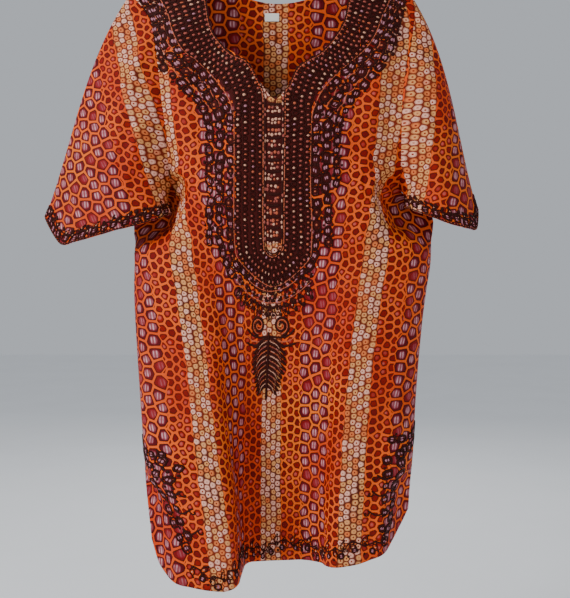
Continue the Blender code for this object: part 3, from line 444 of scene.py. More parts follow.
@dataclass
class Panel:
    """One body panel: its places on the flat cloth and its points, fine enough to show."""

    side: Side
    row_steps: int = 7
    column_steps: int = 8
    places: np.ndarray = field(init=False)
    points: np.ndarray = field(init=False)

    def __post_init__(self) -> None:
        """Work out the coarse grid, then the fine one."""
        self.drape = Drape(self.side)
        coarse_places, coarse = self.coarse()
        offset = coarse - self.drape.point(coarse_places[..., 0], coarse_places[..., 1])
        self.places, offset = (finer(finer(grid, self.row_steps, 0), self.column_steps, 1)
                               for grid in (coarse_places, offset))
        self.points = self.drape.point(self.places[..., 0], self.places[..., 1]) + offset
        for place, reach, shift in EASED:
            share = smooth(1.0 - distance_to(self.points, np.array(place)) / reach)
            self.points += share[..., None] * np.array(shift)

    def neck(self) -> list:
        """Neck edge of the panel.

        Returns:
            Its places (f, z) from left to right.
        """
        first, last = NECK_FRONT[0], NECK_FRONT[-1]
        count = len(NECK_FRONT)
        if self.side is Side.FRONT:
            return [((r.x - NECK_MIDDLE) / NECK_STRETCH, r.z) for r in NECK_FRONT]
        left, right = ((r.x - NECK_MIDDLE) / NECK_STRETCH for r in (first, last))
        out = []
        for k in range(count):
            t = 0.5 - 0.5 * math.cos(math.pi * k / (count - 1))
            bend = (1.0 - (2 * t - 1) ** 2) ** NECK_BACK_BEND
            base = first.z + (last.z - first.z) * t
            out.append((left + (right - left) * t, base - NECK_BACK_DROP * bend))
        return out

    def top_edge(self) -> list:
        """Shoulder, neck and shoulder.

        Returns:
            A place (f, z) for each column.
        """
        neck = self.neck()
        spans = range(SHOULDER_SPANS)
        left = [SHOULDER_TIP_LEFT + (neck[0][0] - SHOULDER_TIP_LEFT) * k / SHOULDER_SPANS
                for k in spans]
        right = [neck[-1][0] + (SHOULDER_TIP_RIGHT - neck[-1][0]) * (k + 1) / SHOULDER_SPANS
                 for k in spans]
        left, right = ([(f, float(Drape.roof(np.array(f)))) for f in end] for end in (left, right))
        return left + neck + right

    def coarse(self) -> tuple:
        """The panel as cut, in rows from hem to shoulder.

        Returns:
            Places on the flat cloth, and points in space.
        """
        front = self.side is Side.FRONT
        top = self.top_edge()
        count = len(top)
        first, last = SHOULDER_SPANS, count - 1 - SHOULDER_SPANS
        runs = [0.0]
        for j in range(first, last):
            runs.append(runs[-1] + math.dist(top[j], top[j + 1]))
        base = [-ARMPIT_F + (ARMPIT_F - NECK_COLUMNS_F) * k for k in EDGE_SPREAD]
        for j in range(1, last - first):
            even = (EVEN_SHARE * (j / (last - first))
                    + (1.0 - EVEN_SHARE) * runs[j] / runs[-1])
            base.append(NECK_COLUMNS_F * (2.0 * even - 1.0))
        base += [ARMPIT_F - (ARMPIT_F - NECK_COLUMNS_F) * k for k in reversed(EDGE_SPREAD)]
        base = np.array(base)
        arm_l, arm_r = ((ARM_FRONT_LEFT, ARM_FRONT_RIGHT) if front
                        else (ARM_BACK_LEFT, ARM_BACK_RIGHT))
        places = []
        low_f = base * HALF_FLAT / ARMPIT_F
        low_z = pairs_at(HEM_FRONT if front else HEM_BACK, low_f)
        for step in SIDE_STEPS:
            z = low_z + (ARMPIT_Z - low_z) * step
            f0, f1 = column(SIDE_LEFT, "z", "f", z), column(SIDE_RIGHT, "z", "f", z)
            f = f0 + (f1 - f0) * (low_f + HALF_FLAT) / (2 * HALF_FLAT)
            places.append([[a, b] for a, b in zip(f, z)])
        pit_l, pit_r = arm_l[0].f, arm_r[0].f
        base = pit_l + (pit_r - pit_l) * (base + ARMPIT_F) / (2 * ARMPIT_F)
        for v in CHEST_STEPS:
            ease = float(smooth(np.array(v ** 0.8)))
            row = [[base[j] + (top[j][0] - base[j]) * ease,
                    ARMPIT_Z + (top[j][1] - ARMPIT_Z) * v] for j in range(count)]
            z_l = ARMPIT_Z + (arm_l[-1].z - ARMPIT_Z) * v
            z_r = ARMPIT_Z + (arm_r[-1].z - ARMPIT_Z) * v
            f_l = float(column(arm_l, "z", "f", np.array(z_l)))
            f_r = float(column(arm_r, "z", "f", np.array(z_r)))
            in_l, in_r = row[first][0], row[last][0]
            for k in range(SHOULDER_SPANS):
                part = EDGE_SPREAD[k] * (1 - ease) + ease * k / SHOULDER_SPANS
                j = count - 1 - k
                row[k] = [f_l + (in_l - f_l) * part, row[k][1] if k else z_l]
                row[j] = [f_r + (in_r - f_r) * part, row[j][1] if k else z_r]
            places.append(row)
        places = np.array(places, float)
        points = self.drape.point(places[..., 0], places[..., 1])
        share = np.zeros(points.shape[:2])
        for col in (0, -1):
            gone = distance_to(points, points[SIDE_ROWS, col])
            edge = distance_to(points, points[:, [col]])
            near = smooth(1.0 - gone / ARMPIT_REACH) * smooth(edge / ARMPIT_EDGE)
            share = np.maximum(share, near)
        share = share[1:-1, 1:-1, None] * 0.5
        both = np.concatenate([places, points], axis=2)
        for _ in range(ARMPIT_PASSES):
            mean = 0.25 * (both[:-2, 1:-1] + both[2:, 1:-1] + both[1:-1, :-2] + both[1:-1, 2:])
            both[1:-1, 1:-1] += (mean - both[1:-1, 1:-1]) * share
        return both[..., :2], both[..., 2:]


# --- creases
@dataclass(frozen=True)
class Crease:
    """A soft ridge (depth above 0) or trough (below 0) along a bowed line, sizes in mm."""

    a0: float
    b0: float
    a1: float
    b1: float
    width: float
    depth: float
    bow: float = 0.0

    def lift(self, a: np.ndarray, b: np.ndarray) -> np.ndarray:
        """Height that the crease adds to the cloth.

        Args:
            a: Places across the cloth.
            b: Places along it.

        Returns:
            The height at each place.
        """
        run = np.array((self.a1 - self.a0, self.b1 - self.b0))
        length = float(np.hypot(*run))
        run = run / length
        t = ((a - self.a0) * run[0] + (b - self.b0) * run[1]) / length
        across = (a - self.a0) * -run[1] + (b - self.b0) * run[0]
        inside = np.clip(t, 0.0, 1.0)
        across = across - self.bow * 4.0 * inside * (1.0 - inside)
        wide = self.width * (0.75 + 0.5 * np.sin(math.pi * inside) * (0.5 + inside))
        ends = np.sin(math.pi * inside) ** 0.8 * (0.8 + 0.2 * np.cos(9.0 * t + self.a0))
        return (self.depth * np.exp(-((across / wide) ** 2))
                * np.where((t > 0) & (t < 1), ends, 0.0))


CREASE_DEPTH = 1.25


def lift_of(creases: Sequence[Crease], a: np.ndarray, b: np.ndarray) -> np.ndarray:
    """Height of all the creases together."""
    return CREASE_DEPTH * sum((c.lift(a, b) for c in creases), np.zeros(np.shape(a)))


FRONT_CREASES = table(Crease,
    # long falls from the chest
    (-228, -500, -205, -960, 9, 1.8, 6), (-186, -560, -170, -1000, 8, -1.6, -5),
    (-140, -620, -128, -1000, 10, 1.9, 7), (-96, -560, -84, -990, 8, -1.7, -6),
    (-46, -700, -52, -985, 9, 1.4, 4), (28, -690, 20, -965, 10, -1.5, -6),
    (84, -640, 70, -980, 9, 1.7, 8), (128, -600, 116, -1000, 8, -1.9, -4),
    (176, -590, 168, -990, 10, 1.8, 6), (224, -540, 214, -930, 8, -1.6, -5),
    # drags from the armpits
    (-182, -470, -96, -560, 8, 2.0, 8), (-178, -500, -70, -640, 10, -2.2, 10),
    (-190, -545, -104, -690, 9, 1.6, 6), (186, -470, 108, -552, 8, 2.1, -8),
    (184, -505, 84, -640, 10, -2.2, -11), (196, -560, 118, -700, 9, 1.7, -5),
    # beside the armholes
    (-168, -230, -142, -420, 8, -2.4, -8), (-140, -190, -118, -400, 9, 2.0, -6),
    (176, -215, 152, -420, 9, -3.0, 9), (150, -180, 128, -390, 10, 2.4, 7),
    (124, -170, 112, -330, 8, -1.6, 5),
    # small pulls under the stitching
    (-66, -520, -88, -640, 7, 1.5, 5), (-30, -600, -44, -720, 7, -1.3, -4),
    (34, -604, 46, -720, 7, 1.3, 4), (68, -520, 92, -640, 7, -1.5, -5),
    (-72, -300, -104, -420, 8, 1.4, 5), (72, -300, 100, -430, 8, 1.4, -5),
    (-104, -250, -126, -330, 7, -1.3, 4),
    # hem and vents
    (-248, -800, -226, -930, 8, -1.8, 5), (-214, -870, -204, -990, 7, 1.6, 3),
    (238, -790, 226, -900, 8, 1.8, -5), (-120, -900, -104, -1005, 8, -1.5, 4),
    (52, -880, 46, -960, 8, 1.3, -4), (150, -890, 142, -985, 7, -1.5, 4),
    (-20, -860, -14, -955, 9, 1.2, 3),
    # faint cross creases from folding
    (-230, -742, -30, -748, 6, 0.9, 4), (10, -750, 220, -738, 6, -0.9, -4),
    (-210, -640, -60, -652, 5, -0.8, 3), (70, -830, 230, -822, 6, 0.9, 4))

BACK_CREASES = table(Crease,
    (-210, -480, -190, -940, 9, 2.0, 6), (-160, -520, -150, -980, 9, -1.8, -6),
    (-104, -430, -96, -930, 10, 2.1, 8), (-52, -360, -60, -900, 9, -1.7, -7),
    (-8, -300, 2, -880, 11, 1.6, 6), (44, -380, 52, -930, 9, -1.8, 6),
    (98, -420, 92, -960, 10, 2.0, -7), (150, -500, 144, -980, 8, -1.9, 5),
    (202, -520, 196, -930, 9, 1.9, -6), (-176, -470, -80, -560, 9, 2.2, 9),
    (-184, -505, -60, -660, 10, -2.1, 11), (178, -470, 88, -556, 9, 2.1, -9),
    (186, -508, 70, -650, 10, -2.2, -10), (-160, -200, -134, -410, 9, -2.4, -8),
    (-130, -180, -104, -380, 10, 2.0, -6), (168, -200, 142, -410, 9, -2.5, 9),
    (138, -180, 112, -380, 10, 2.1, 6), (-80, -190, -30, -300, 10, 1.6, 8),
    (84, -196, 28, -310, 10, 1.7, -8), (-60, -230, 60, -236, 9, -1.2, -14),
    (-90, -300, 80, -310, 8, 1.0, -18), (-246, -800, -224, -930, 8, 1.8, 5),
    (240, -790, 226, -900, 8, -1.8, -5), (-140, -860, -128, -990, 8, -1.6, 5),
    (-30, -870, -24, -990, 9, 1.5, -4), (70, -860, 66, -985, 8, -1.5, 5),
    (120, -880, 118, -990, 7, 1.4, -4), (-220, -700, -40, -708, 6, -0.9, 4),
    (20, -690, 220, -700, 6, 0.9, -4), (-200, -600, -20, -610, 5, 0.8, -3),
    (30, -790, 230, -780, 6, -0.9, 4))

# along the sleeve from armhole (0) to cuff, and round it; place round: 0 at the shoulder fold,
# 0.5 at the armpit fold, the front between them
LEFT_SLEEVE_CREASES = table(Crease,
    (10, 52, 130, 92, 8, 2.2, 6), (20, 96, 190, 110, 9, -2.0, 8), (8, 140, 120, 120, 9, 2.3, -8),
    (30, 168, 150, 140, 8, -2.2, -9), (90, 30, 300, 44, 9, 1.6, 6),
    (150, 84, 330, 70, 10, -1.8, 7), (140, 130, 320, 150, 9, 1.9, -7),
    (180, 172, 330, 182, 8, -1.7, 5), (20, 300, 170, 280, 9, 2.2, -8),
    (12, 340, 150, 330, 9, -2.0, 8), (110, 270, 320, 290, 10, 1.8, 8),
    (130, 350, 330, 340, 9, -1.7, -6), (30, 390, 250, 400, 9, 1.7, 6),
    (220, 236, 340, 250, 8, -1.6, 5))
RIGHT_SLEEVE_CREASES = table(Crease,
    (8, 60, 140, 96, 8, -2.3, 7), (14, 104, 180, 120, 9, 2.2, 9), (10, 150, 130, 126, 9, -2.4, -8),
    (60, 40, 280, 50, 9, 1.7, -6), (130, 80, 330, 92, 10, -1.9, -7),
    (120, 140, 310, 128, 9, 2.0, 7), (170, 176, 330, 170, 8, -1.8, -5),
    (16, 290, 160, 276, 9, -2.2, 8), (20, 345, 150, 332, 9, 2.1, -8),
    (100, 280, 310, 296, 10, -1.8, -8), (140, 344, 330, 356, 9, 1.8, 6),
    (24, 392, 240, 398, 9, -1.7, -6))


# --- meshes
def grid_normals(grid: np.ndarray, closed: bool = False) -> np.ndarray:
    """Unit normals of a grid of points, outward for left-to-right and upward grids."""
    across = (np.roll(grid, -1, axis=1) - np.roll(grid, 1, axis=1) if closed
              else np.gradient(grid, axis=1))
    return unit(np.cross(across, np.gradient(grid, axis=0)))


TURNED_OVER = [0, 3, 2, 1]


def quads(index: np.ndarray) -> np.ndarray:
    """Faces between the neighbours in a grid of vertex numbers."""
    corners = (index[:-1, :-1], index[:-1, 1:], index[1:, 1:], index[1:, :-1])
    return np.stack(corners, axis=-1).reshape(-1, 4)


@dataclass
class Shape:
    """Vertices (mm), faces, and places on the flat cloth for a mesh."""

    verts: np.ndarray
    faces: np.ndarray
    flat: np.ndarray | None = None

    def build(self, name: str, materials: Sequence[bpy.types.Material],
              material_index: np.ndarray | None = None) -> bpy.types.Object:
        """Make the object, smooth, at the origin.

        Args:
            name: Name of the piece.
            materials: Its materials.
            material_index: Which of them each face has, the first if none is given.

        Returns:
            The object, linked to the scene.
        """
        mesh = bpy.data.meshes.new(name)
        mesh.from_pydata((self.verts * MM).tolist(), [], self.faces.tolist())
        if self.flat is not None:
            loops = np.empty(len(mesh.loops), np.int32)
            mesh.loops.foreach_get("vertex_index", loops)
            layer = mesh.uv_layers.new(name="flat")
            layer.data.foreach_set("uv", (self.flat[loops] * MM).astype(np.float32).ravel())
        for material in materials:
            mesh.materials.append(material)
        if material_index is not None:
            mesh.polygons.foreach_set("material_index", material_index.astype(np.int32))
        mesh.polygons.foreach_set("use_smooth", np.ones(len(mesh.polygons), bool))
        mesh.update()
        mesh.validate()
        made = bpy.data.objects.new(name, mesh)
        bpy.context.scene.collection.objects.link(made)
        LOG.info("%s: %d vertices, %d faces", name, len(self.verts), len(self.faces))
        return made


def wall(points: np.ndarray, normals: np.ndarray, flat: np.ndarray, thick: np.ndarray,
         closed: bool = False) -> Shape:
    """A closed wall about a grid of points.

    Args:
        points: Rows x columns of points.
        normals: Their outward normals.
        flat: Their places on the flat cloth.
        thick: Thickness at each.
        closed: Whether the columns run round a ring.

    Returns:
        The wall, with rims along its open edges.
    """
    rows, cols = points.shape[:2]
    half = 0.5 * thick[..., None]
    outer, inner = ((points + normals * hand).reshape(-1, 3) for hand in (half, -half))
    n = rows * cols
    index = np.arange(n).reshape(rows, cols)
    index = ring_closed(index) if closed else index
    faces = [quads(index), quads(index)[:, TURNED_OVER] + n]
    rims = [index[0], index[-1][::-1]]
    if not closed:
        rims += [index[:, -1], index[:, 0][::-1]]
    for rim in rims:
        faces.append(np.stack([rim[:-1], rim[:-1] + n, rim[1:] + n, rim[1:]], 1))
    return Shape(np.concatenate([outer, inner]), np.concatenate(faces),
                 np.tile(flat.reshape(-1, 2), (2, 1)))


@dataclass
class Lattice:
    """A surface read by two coordinates through an even grid of points and normals."""

    a0: float
    b0: float
    step_a: float
    step_b: float
    points: np.ndarray
    normals: np.ndarray

    def at(self, a: np.ndarray, b: np.ndarray, lift: np.ndarray | float = 0.0) -> np.ndarray:
        """Points above the surface.

        Args:
            a: First coordinate of each place.
            b: Second coordinate.
            lift: Height above the surface.

        Returns:
            The points.
        """
        rows, cols = self.points.shape[:2]
        i = np.clip((np.asarray(b, float) - self.b0) / self.step_b, 0, rows - 1.001)
        j = np.clip((np.asarray(a, float) - self.a0) / self.step_a, 0, cols - 1.001)
        i0, j0 = i.astype(int), j.astype(int)
        u, v = (j - j0)[..., None], (i - i0)[..., None]

        def read(grid: np.ndarray) -> np.ndarray:
            """Bilinear value of a grid."""
            return ((grid[i0, j0] * (1 - u) + grid[i0, j0 + 1] * u) * (1 - v)
                    + (grid[i0 + 1, j0] * (1 - u) + grid[i0 + 1, j0 + 1] * u) * v)

        return read(self.points) + unit(read(self.normals)) * np.asarray(lift)[..., None]


# --- cloth pieces
PANEL_WALL = 0.9
HEM_TURN = 11.0
HEM_EXTRA = 0.7
CUFF_EXTRA = 0.8
TURN_SLOPE = 3.0  # run over which a turned edge thins out
SEAM_REACH = 22.0  # creases die away this near a sewn edge
SEAM_JOIN = 40.0  # the side edges are drawn together over this much cloth
SHOULDER_FREE = 6.0
SHOULDER_EASE = 50.0
FAR = 99.0
PRINT_STEP = 2.0
PRINT_ROW = 5.0
BAND_BLEND = 30.0


@dataclass
class ClothPanel:
    """A body panel as shown: fine cloth with creases, seams and a turned hem."""

    side: Side
    creases: Sequence[Crease]

    def __post_init__(self) -> None:
        """Lay out the fine grid and put the creases in."""
        self.panel = Panel(self.side)
        self.sign = 1.0 if self.side is Side.FRONT else -1.0
        self.places = self.panel.places
        lift = self.lift(self.places[..., 0], self.places[..., 1]) * self.seam_share()
        outward = grid_normals(self.panel.points) * self.sign
        self.points = self.panel.points + outward * lift[..., None]
        self.normals = grid_normals(self.points) * self.sign

    def meet(self, other: "ClothPanel") -> None:
        """Draw the side edges of two panels to one line, easing off away from it.

        Args:
            other: The panel that this one is sewn to.
        """
        low, high = self.vent_row, self.armpit_row + 1
        for col in (0, -1):
            gap = 0.5 * (other.points[low:high, [col]] - self.points[low:high, [col]])
            for panel, hand in ((self, 1.0), (other, -1.0)):
                away = distance_to(panel.points[low:high], panel.points[low:high, [col]])
                share = 1.0 - smooth(away / SEAM_JOIN)
                panel.points[low:high] += hand * gap * share[..., None]
        for panel in (self, other):
            panel.normals = grid_normals(panel.points) * panel.sign

    def lift(self, f: np.ndarray, z: np.ndarray) -> np.ndarray:
        """Crease height at places on the cloth, none at the shoulder fold."""
        top = smooth((Drape.roof(f) - z - SHOULDER_FREE) / SHOULDER_EASE)
        return lift_of(self.creases, f, z) * top

    @property
    def armpit_row(self) -> int:
        """Row of the fine grid at the armpits."""
        return SIDE_ROWS * self.panel.row_steps

    @property
    def vent_row(self) -> int:
        """Row of the fine grid where the side seams start."""
        return VENT_ROW * self.panel.row_steps

    def seam_share(self) -> np.ndarray:
        """How much of the creases the cloth takes.

        Returns:
            1 on open cloth, 0 along the sewn edges.
        """
        points = self.panel.points
        share = np.ones(points.shape[:2])
        opening = np.linspace(0, 1, self.vent_row)[:, None] ** 3
        for col in (0, -1):
            sewn = smooth(distance_to(points, points[:, [col]]) / SEAM_REACH)
            sewn[: self.vent_row] = 1.0 - (1.0 - sewn[: self.vent_row]) * opening
            share = np.minimum(share, sewn)
        return share

    def thickness(self) -> np.ndarray:
        """Cloth thickness: more at the hem, the vents and the neck, where it is turned in.

        Returns:
            The thickness at each point of the grid.
        """
        points = self.points
        shoulder = SHOULDER_SPANS * self.panel.column_steps
        neck = distance_to(points, points[[-1]])
        neck[:, :shoulder] = neck[:, points.shape[1] - shoulder:] = FAR
        edges = [distance_to(points, points[[0]]), neck]
        for col in (0, -1):
            away = distance_to(points, points[:, [col]])
            away[self.vent_row:] = FAR
            edges.append(away)
        turned = 1.0 - smooth((np.min(edges, axis=0) - HEM_TURN) / TURN_SLOPE)
        return PANEL_WALL + HEM_EXTRA * turned

    def printed(self) -> np.ndarray:
        """Place of each point in the print (mm): distance along the cloth between its bands.

        Returns:
            Places across and along the print, for each point of the grid.
        """
        f = np.arange(-HALF_FLAT, HALF_FLAT + PRINT_STEP, PRINT_STEP)
        z = np.arange(CLOTH_LOW, CLOTH_HIGH, PRINT_ROW)
        points = self.panel.drape.point(*np.meshgrid(f, z))
        stretch = np.linalg.norm(np.diff(points, axis=1), axis=2) / PRINT_STEP
        open_cloth = smooth((Drape.roof(f[None, 1:]) - z[:, None] - 20.0) / 80.0)
        stretch = 1.0 + (np.clip(stretch, 0.6, 1.7) - 1.0) * open_cloth

        def run_of(steps: np.ndarray) -> np.ndarray:
            """Distance across each row, from the steps along it."""
            return np.concatenate([np.zeros((len(z), 1)), np.cumsum(steps, axis=1)], axis=1)

        run = run_of(stretch * PRINT_STEP)
        marks = np.array((-1.0, 0.0, 1.0)) * Print.repeat
        at = np.stack([run[:, np.searchsorted(f, m)] for m in marks], axis=1)
        ease = np.full((len(z), len(f)), 1.0)
        blend = 2.0 * BAND_BLEND
        for k, (low, high) in enumerate(zip(marks[:-1], marks[1:])):
            inside = (smooth((f - low + BAND_BLEND) / blend)
                      * smooth((high + BAND_BLEND - f) / blend))
            scale = (high - low) / (at[:, k + 1] - at[:, k])
            ease = ease + inside[None] * (scale[:, None] - 1.0)
        run = run_of(stretch * PRINT_STEP * 0.5 * (ease[:, 1:] + ease[:, :-1]))
        run -= run[:, [np.searchsorted(f, 0.0)]]
        read = Lattice(float(f[0]), float(z[0]), PRINT_STEP, PRINT_ROW,
                       np.stack([run, run, run], 2), np.ones(run.shape + (3,)))
        out = self.places.copy()
        out[..., 0] = read.at(self.places[..., 0], self.places[..., 1])[..., 0]
        return out

    def cut(self) -> tuple:
        """Size of the panel as cut.

        Returns:
            Width and length (m), and area (m2).
        """
        p = self.places
        a, b = p[1:, 1:] - p[:-1, :-1], p[1:, :-1] - p[:-1, 1:]
        area = 0.5 * np.abs(a[..., 0] * b[..., 1] - a[..., 1] * b[..., 0]).sum()
        size = np.ptp(p.reshape(-1, 2), axis=0) * MM
        return float(size[0]), float(size[1]), float(area * MM * MM)

    def lattice(self, step: float = 2.5) -> Lattice:
        """The outside of the panel, read by place on the flat cloth.

        Args:
            step: Distance between the points of the grid.

        Returns:
            The surface.
        """
        f = np.arange(-HALF_FLAT, HALF_FLAT + step, step)
        z = np.arange(CLOTH_LOW, CLOTH_HIGH, step)
        grid_f, grid_z = np.meshgrid(f, z)
        points = self.panel.drape.point(grid_f, grid_z)
        normals = grid_normals(points) * self.sign
        points = points + normals * self.lift(grid_f, grid_z)[..., None]
        normals = grid_normals(points) * self.sign
        return Lattice(float(f[0]), float(z[0]), step, step,
                       points + normals * PANEL_WALL * 0.5, normals)


@dataclass
class ClothSleeve:
    """A half sleeve: rings from the armhole of the two panels to the cuff.

    Attributes:
        side: -1 for the left sleeve, 1 for the right one.
        front: The front panel.
        back: The back panel.
        cuff: Places round the cuff.
        creases: Placed on a sleeve that is `deep` on each face.
        print_start: Where the print starts across the sleeve.
        print_slope: How far it leans.
        rings: Count of rings.
        deep: Depth of the sleeve's face that the creases are placed on.
    """

    side: int
    front: ClothPanel
    back: ClothPanel
    cuff: Sequence[Cuff]
    creases: Sequence[Crease]
    print_start: float
    print_slope: float
    rings: int = 84
    deep: float = 215.0

    def __post_init__(self) -> None:
        """Sweep the rings, then put the creases in."""
        self.smooth_points, self.half = self.sweep(self.front.panel.points,
                                                   self.back.panel.points)
        self.along = runs_along(self.smooth_points)
        step = np.linalg.norm(np.diff(ring_closed(self.smooth_points), axis=1), axis=2)
        run = np.concatenate([np.zeros((len(step), 1)), np.cumsum(step, axis=1)[:, :-1]], 1)
        front, fold = run[:, : self.half + 1], run[:, self.half: self.half + 1]
        rest = step.sum(axis=1, keepdims=True) - fold
        place = np.concatenate([front / fold * self.deep,
                                self.deep + (run[:, self.half + 1:] - fold) / rest * self.deep], 1)
        edge = np.minimum(place, 2.0 * self.deep - place)
        edge = np.minimum(np.abs(place - self.deep), edge)
        lift = lift_of(self.creases, self.along, place)
        lift = lift * smooth(self.along / 24.0) * (0.25 + 0.75 * smooth(edge / 20.0))
        outward = self.side * grid_normals(self.smooth_points, closed=True)
        self.points = self.smooth_points + outward * lift[..., None]
        self.normals = self.side * grid_normals(self.points, closed=True)
        self.flat = self.unroll()

    def sweep(self, front: np.ndarray, back: np.ndarray) -> tuple:
        """Rings of points from the armhole to the cuff.

        Args:
            front: Points of the front panel.
            back: Points of the back panel.

        Returns:
            The rings, and the armpit's place in a ring.
        """
        col = 0 if self.side < 0 else front.shape[1] - 1
        row = self.front.armpit_row
        arm_front, arm_back = front[row:, col][::-1], back[row:, col]
        head = np.concatenate([arm_front, arm_back[1:-1]])
        ts = []
        for start, arm, own in ((0.0, arm_front, np.s_[:]), (0.5, arm_back, np.s_[1:-1])):
            runs = runs_along(arm)
            ts.append((start + 0.5 * runs / runs[-1])[own])
        ts = np.concatenate(ts)
        end = self.cuff_points(ts)
        turn = {k: column(TURNS, "t", k, ts) for k in Turn._fields[1:]}
        leave, reach = (end - head + np.stack(
            [self.side * turn[k + "_out"], turn[k + "_y"], turn[k + "_up"]], 1)
            for k in ("head", "cuff"))
        s = (np.linspace(0.0, 1.0, self.rings) ** 1.12)[:, None, None]
        return hermite(s, head, leave, end, reach), len(arm_front) - 1

    def cuff_points(self, ts: np.ndarray) -> np.ndarray:
        """Points round the cuff edge, on a smooth closed curve through the cuff's table.

        Args:
            ts: Places round the ring, from 0 to 1.

        Returns:
            The points.
        """
        own = np.array([c.t for c in self.cuff] + [1.0])
        pts = np.array([(c.x, c.y, c.z) for c in self.cuff], float)
        n = len(pts)
        t = ts % 1.0
        i = np.clip(np.searchsorted(own, t + 1e-9, side="right") - 1, 0, n - 1)
        s = ((t - own[i]) / (own[i + 1] - own[i]))[:, None]
        p0, p1, p2, p3 = (pts[k % n] for k in (i - 1, i, i + 1, i + 2))
        return hermite(s, p1, (p2 - p0) * CUFF_PULL, p2, (p3 - p1) * CUFF_PULL)

    def unroll(self) -> np.ndarray:
        """Places in the print: each face laid flat from the fold along the arm.

        Returns:
            Place across and along the print, for each point.
        """
        points = self.smooth_points
        step = np.linalg.norm(np.diff(ring_closed(points), axis=1)[..., :2], axis=2)
        run = np.concatenate([np.zeros((len(step), 1)), np.cumsum(step, axis=1)[:, :-1]], 1)
        front = np.arange(run.shape[1]) <= self.half
        across = np.where(front[None, :], run, step.sum(axis=1, keepdims=True) - run)
        x, z = points[:, :1, 0] - self.side * across, points[..., 2]
        lean = self.print_slope * (z + 460.0)
        u = (x - self.print_start) - lean + self.side * Print.repeat
        return np.stack([u, z + 0.25 * self.print_slope * x], axis=2)

    def cut(self) -> tuple:
        """Size of the sleeve laid out.

        Returns:
            Width round the cuff and length along the fold (m), and area (m2).
        """
        ring = ring_closed(self.smooth_points)
        a, b = ring[1:, 1:] - ring[:-1, :-1], ring[1:, :-1] - ring[:-1, 1:]
        area = 0.5 * np.linalg.norm(np.cross(a, b), axis=2).sum()
        width = np.linalg.norm(np.diff(ring[-1], axis=0), axis=1).sum()
        return float(width * MM), float(self.along[-1].max() * MM), float(area * MM * MM)

    def cuff_lattice(self, step: float = 2.0, tall: float = 46.0) -> tuple:
        """The outside of the cuff by place round it and height above its edge.

        Args:
            step: Distance between the points of the grid.
            tall: Height that the grid covers.

        Returns:
            The surface, and its length round the edge.
        """
        normals = self.normals[::-1]
        points = self.points[::-1] + normals * PANEL_WALL * 0.9
        runs = runs_along(np.concatenate([points[0], points[0][:1]]))
        columns = np.interp(np.arange(0.0, runs[-1], step), runs, np.arange(len(runs)))
        low = columns.astype(int)
        share = (columns - low)[None, :, None]
        height = runs_along(points)
        levels = np.arange(0.0, tall, step)
        read = []
        for grid in (points, normals):
            ring = ring_closed(np.stack([np.stack([np.interp(
                levels, height[:, k], grid[:, k, axis]) for axis in range(3)], 1)
                for k in range(grid.shape[1])], 1))
            read.append(ring_closed(ring[:, low] * (1 - share) + ring[:, low + 1] * share))
        return Lattice(0.0, 0.0, step, step, read[0], unit(read[1])), float(runs[-1])

    def build(self, name: str, materials: Sequence[bpy.types.Material]) -> bpy.types.Object:
        """Make the sleeve, thicker where the cuff is turned in.

        Args:
            name: Name of the piece.
            materials: Its materials.

        Returns:
            The object.
        """
        edge = self.along[-1][None] - self.along
        thick = PANEL_WALL + CUFF_EXTRA * (1.0 - smooth((edge - HEM_TURN) / TURN_SLOPE))
        shape = wall(self.points, self.normals, self.flat, thick, closed=True)
        if self.side > 0:
            shape.faces = shape.faces[:, ::-1]
        return shape.build(name, materials)


def share_normals(parts: Sequence[tuple]) -> None:
    """Average the normals read from several places, and write them back.

    Args:
        parts: For each place, the normals and the index that reads it.
    """
    mean = unit(sum(normals[index] for normals, index in parts))
    for normals, index in parts:
        normals[index] = mean


def join_normals(front: ClothPanel, back: ClothPanel, sleeves: Sequence[ClothSleeve]) -> None:
    """Give the cloths one normal along each seam, so that their walls meet.

    Args:
        front: The front panel.
        back: The back panel.
        sleeves: The two sleeves.
    """
    row, vent = front.armpit_row, front.vent_row
    cols = front.points.shape[1]
    top = SHOULDER_SPANS * front.panel.column_steps

    for j in (0, cols - 1):
        share_normals([(cloth.normals, np.s_[vent:row, j]) for cloth in (front, back)])
    for j in (np.s_[1:top + 1], np.s_[cols - 1 - top:cols - 1]):
        share_normals([(cloth.normals, (-1, j)) for cloth in (front, back)])
    for sleeve in sleeves:
        j = 0 if sleeve.side < 0 else cols - 1
        half = sleeve.half
        ring = sleeve.normals[0]
        front_arm, back_arm = front.normals[row:, j][::-1], back.normals[row:, j]
        ring[1:half] = unit(ring[1:half] + front_arm[1:half])
        front.normals[row:, j][::-1][1:half] = ring[1:half]
        ring[half + 1:] = unit(ring[half + 1:] + back_arm[1:-1])
        back.normals[row:, j][1:-1] = ring[half + 1:]
        tip = unit(ring[0] + front_arm[0] + back_arm[-1])
        ring[0] = front.normals[-1, j] = back.normals[-1, j] = tip
        pit = unit(ring[half] + front.normals[row, j] + back.normals[row, j])
        ring[half] = front.normals[row, j] = back.normals[row, j] = pit


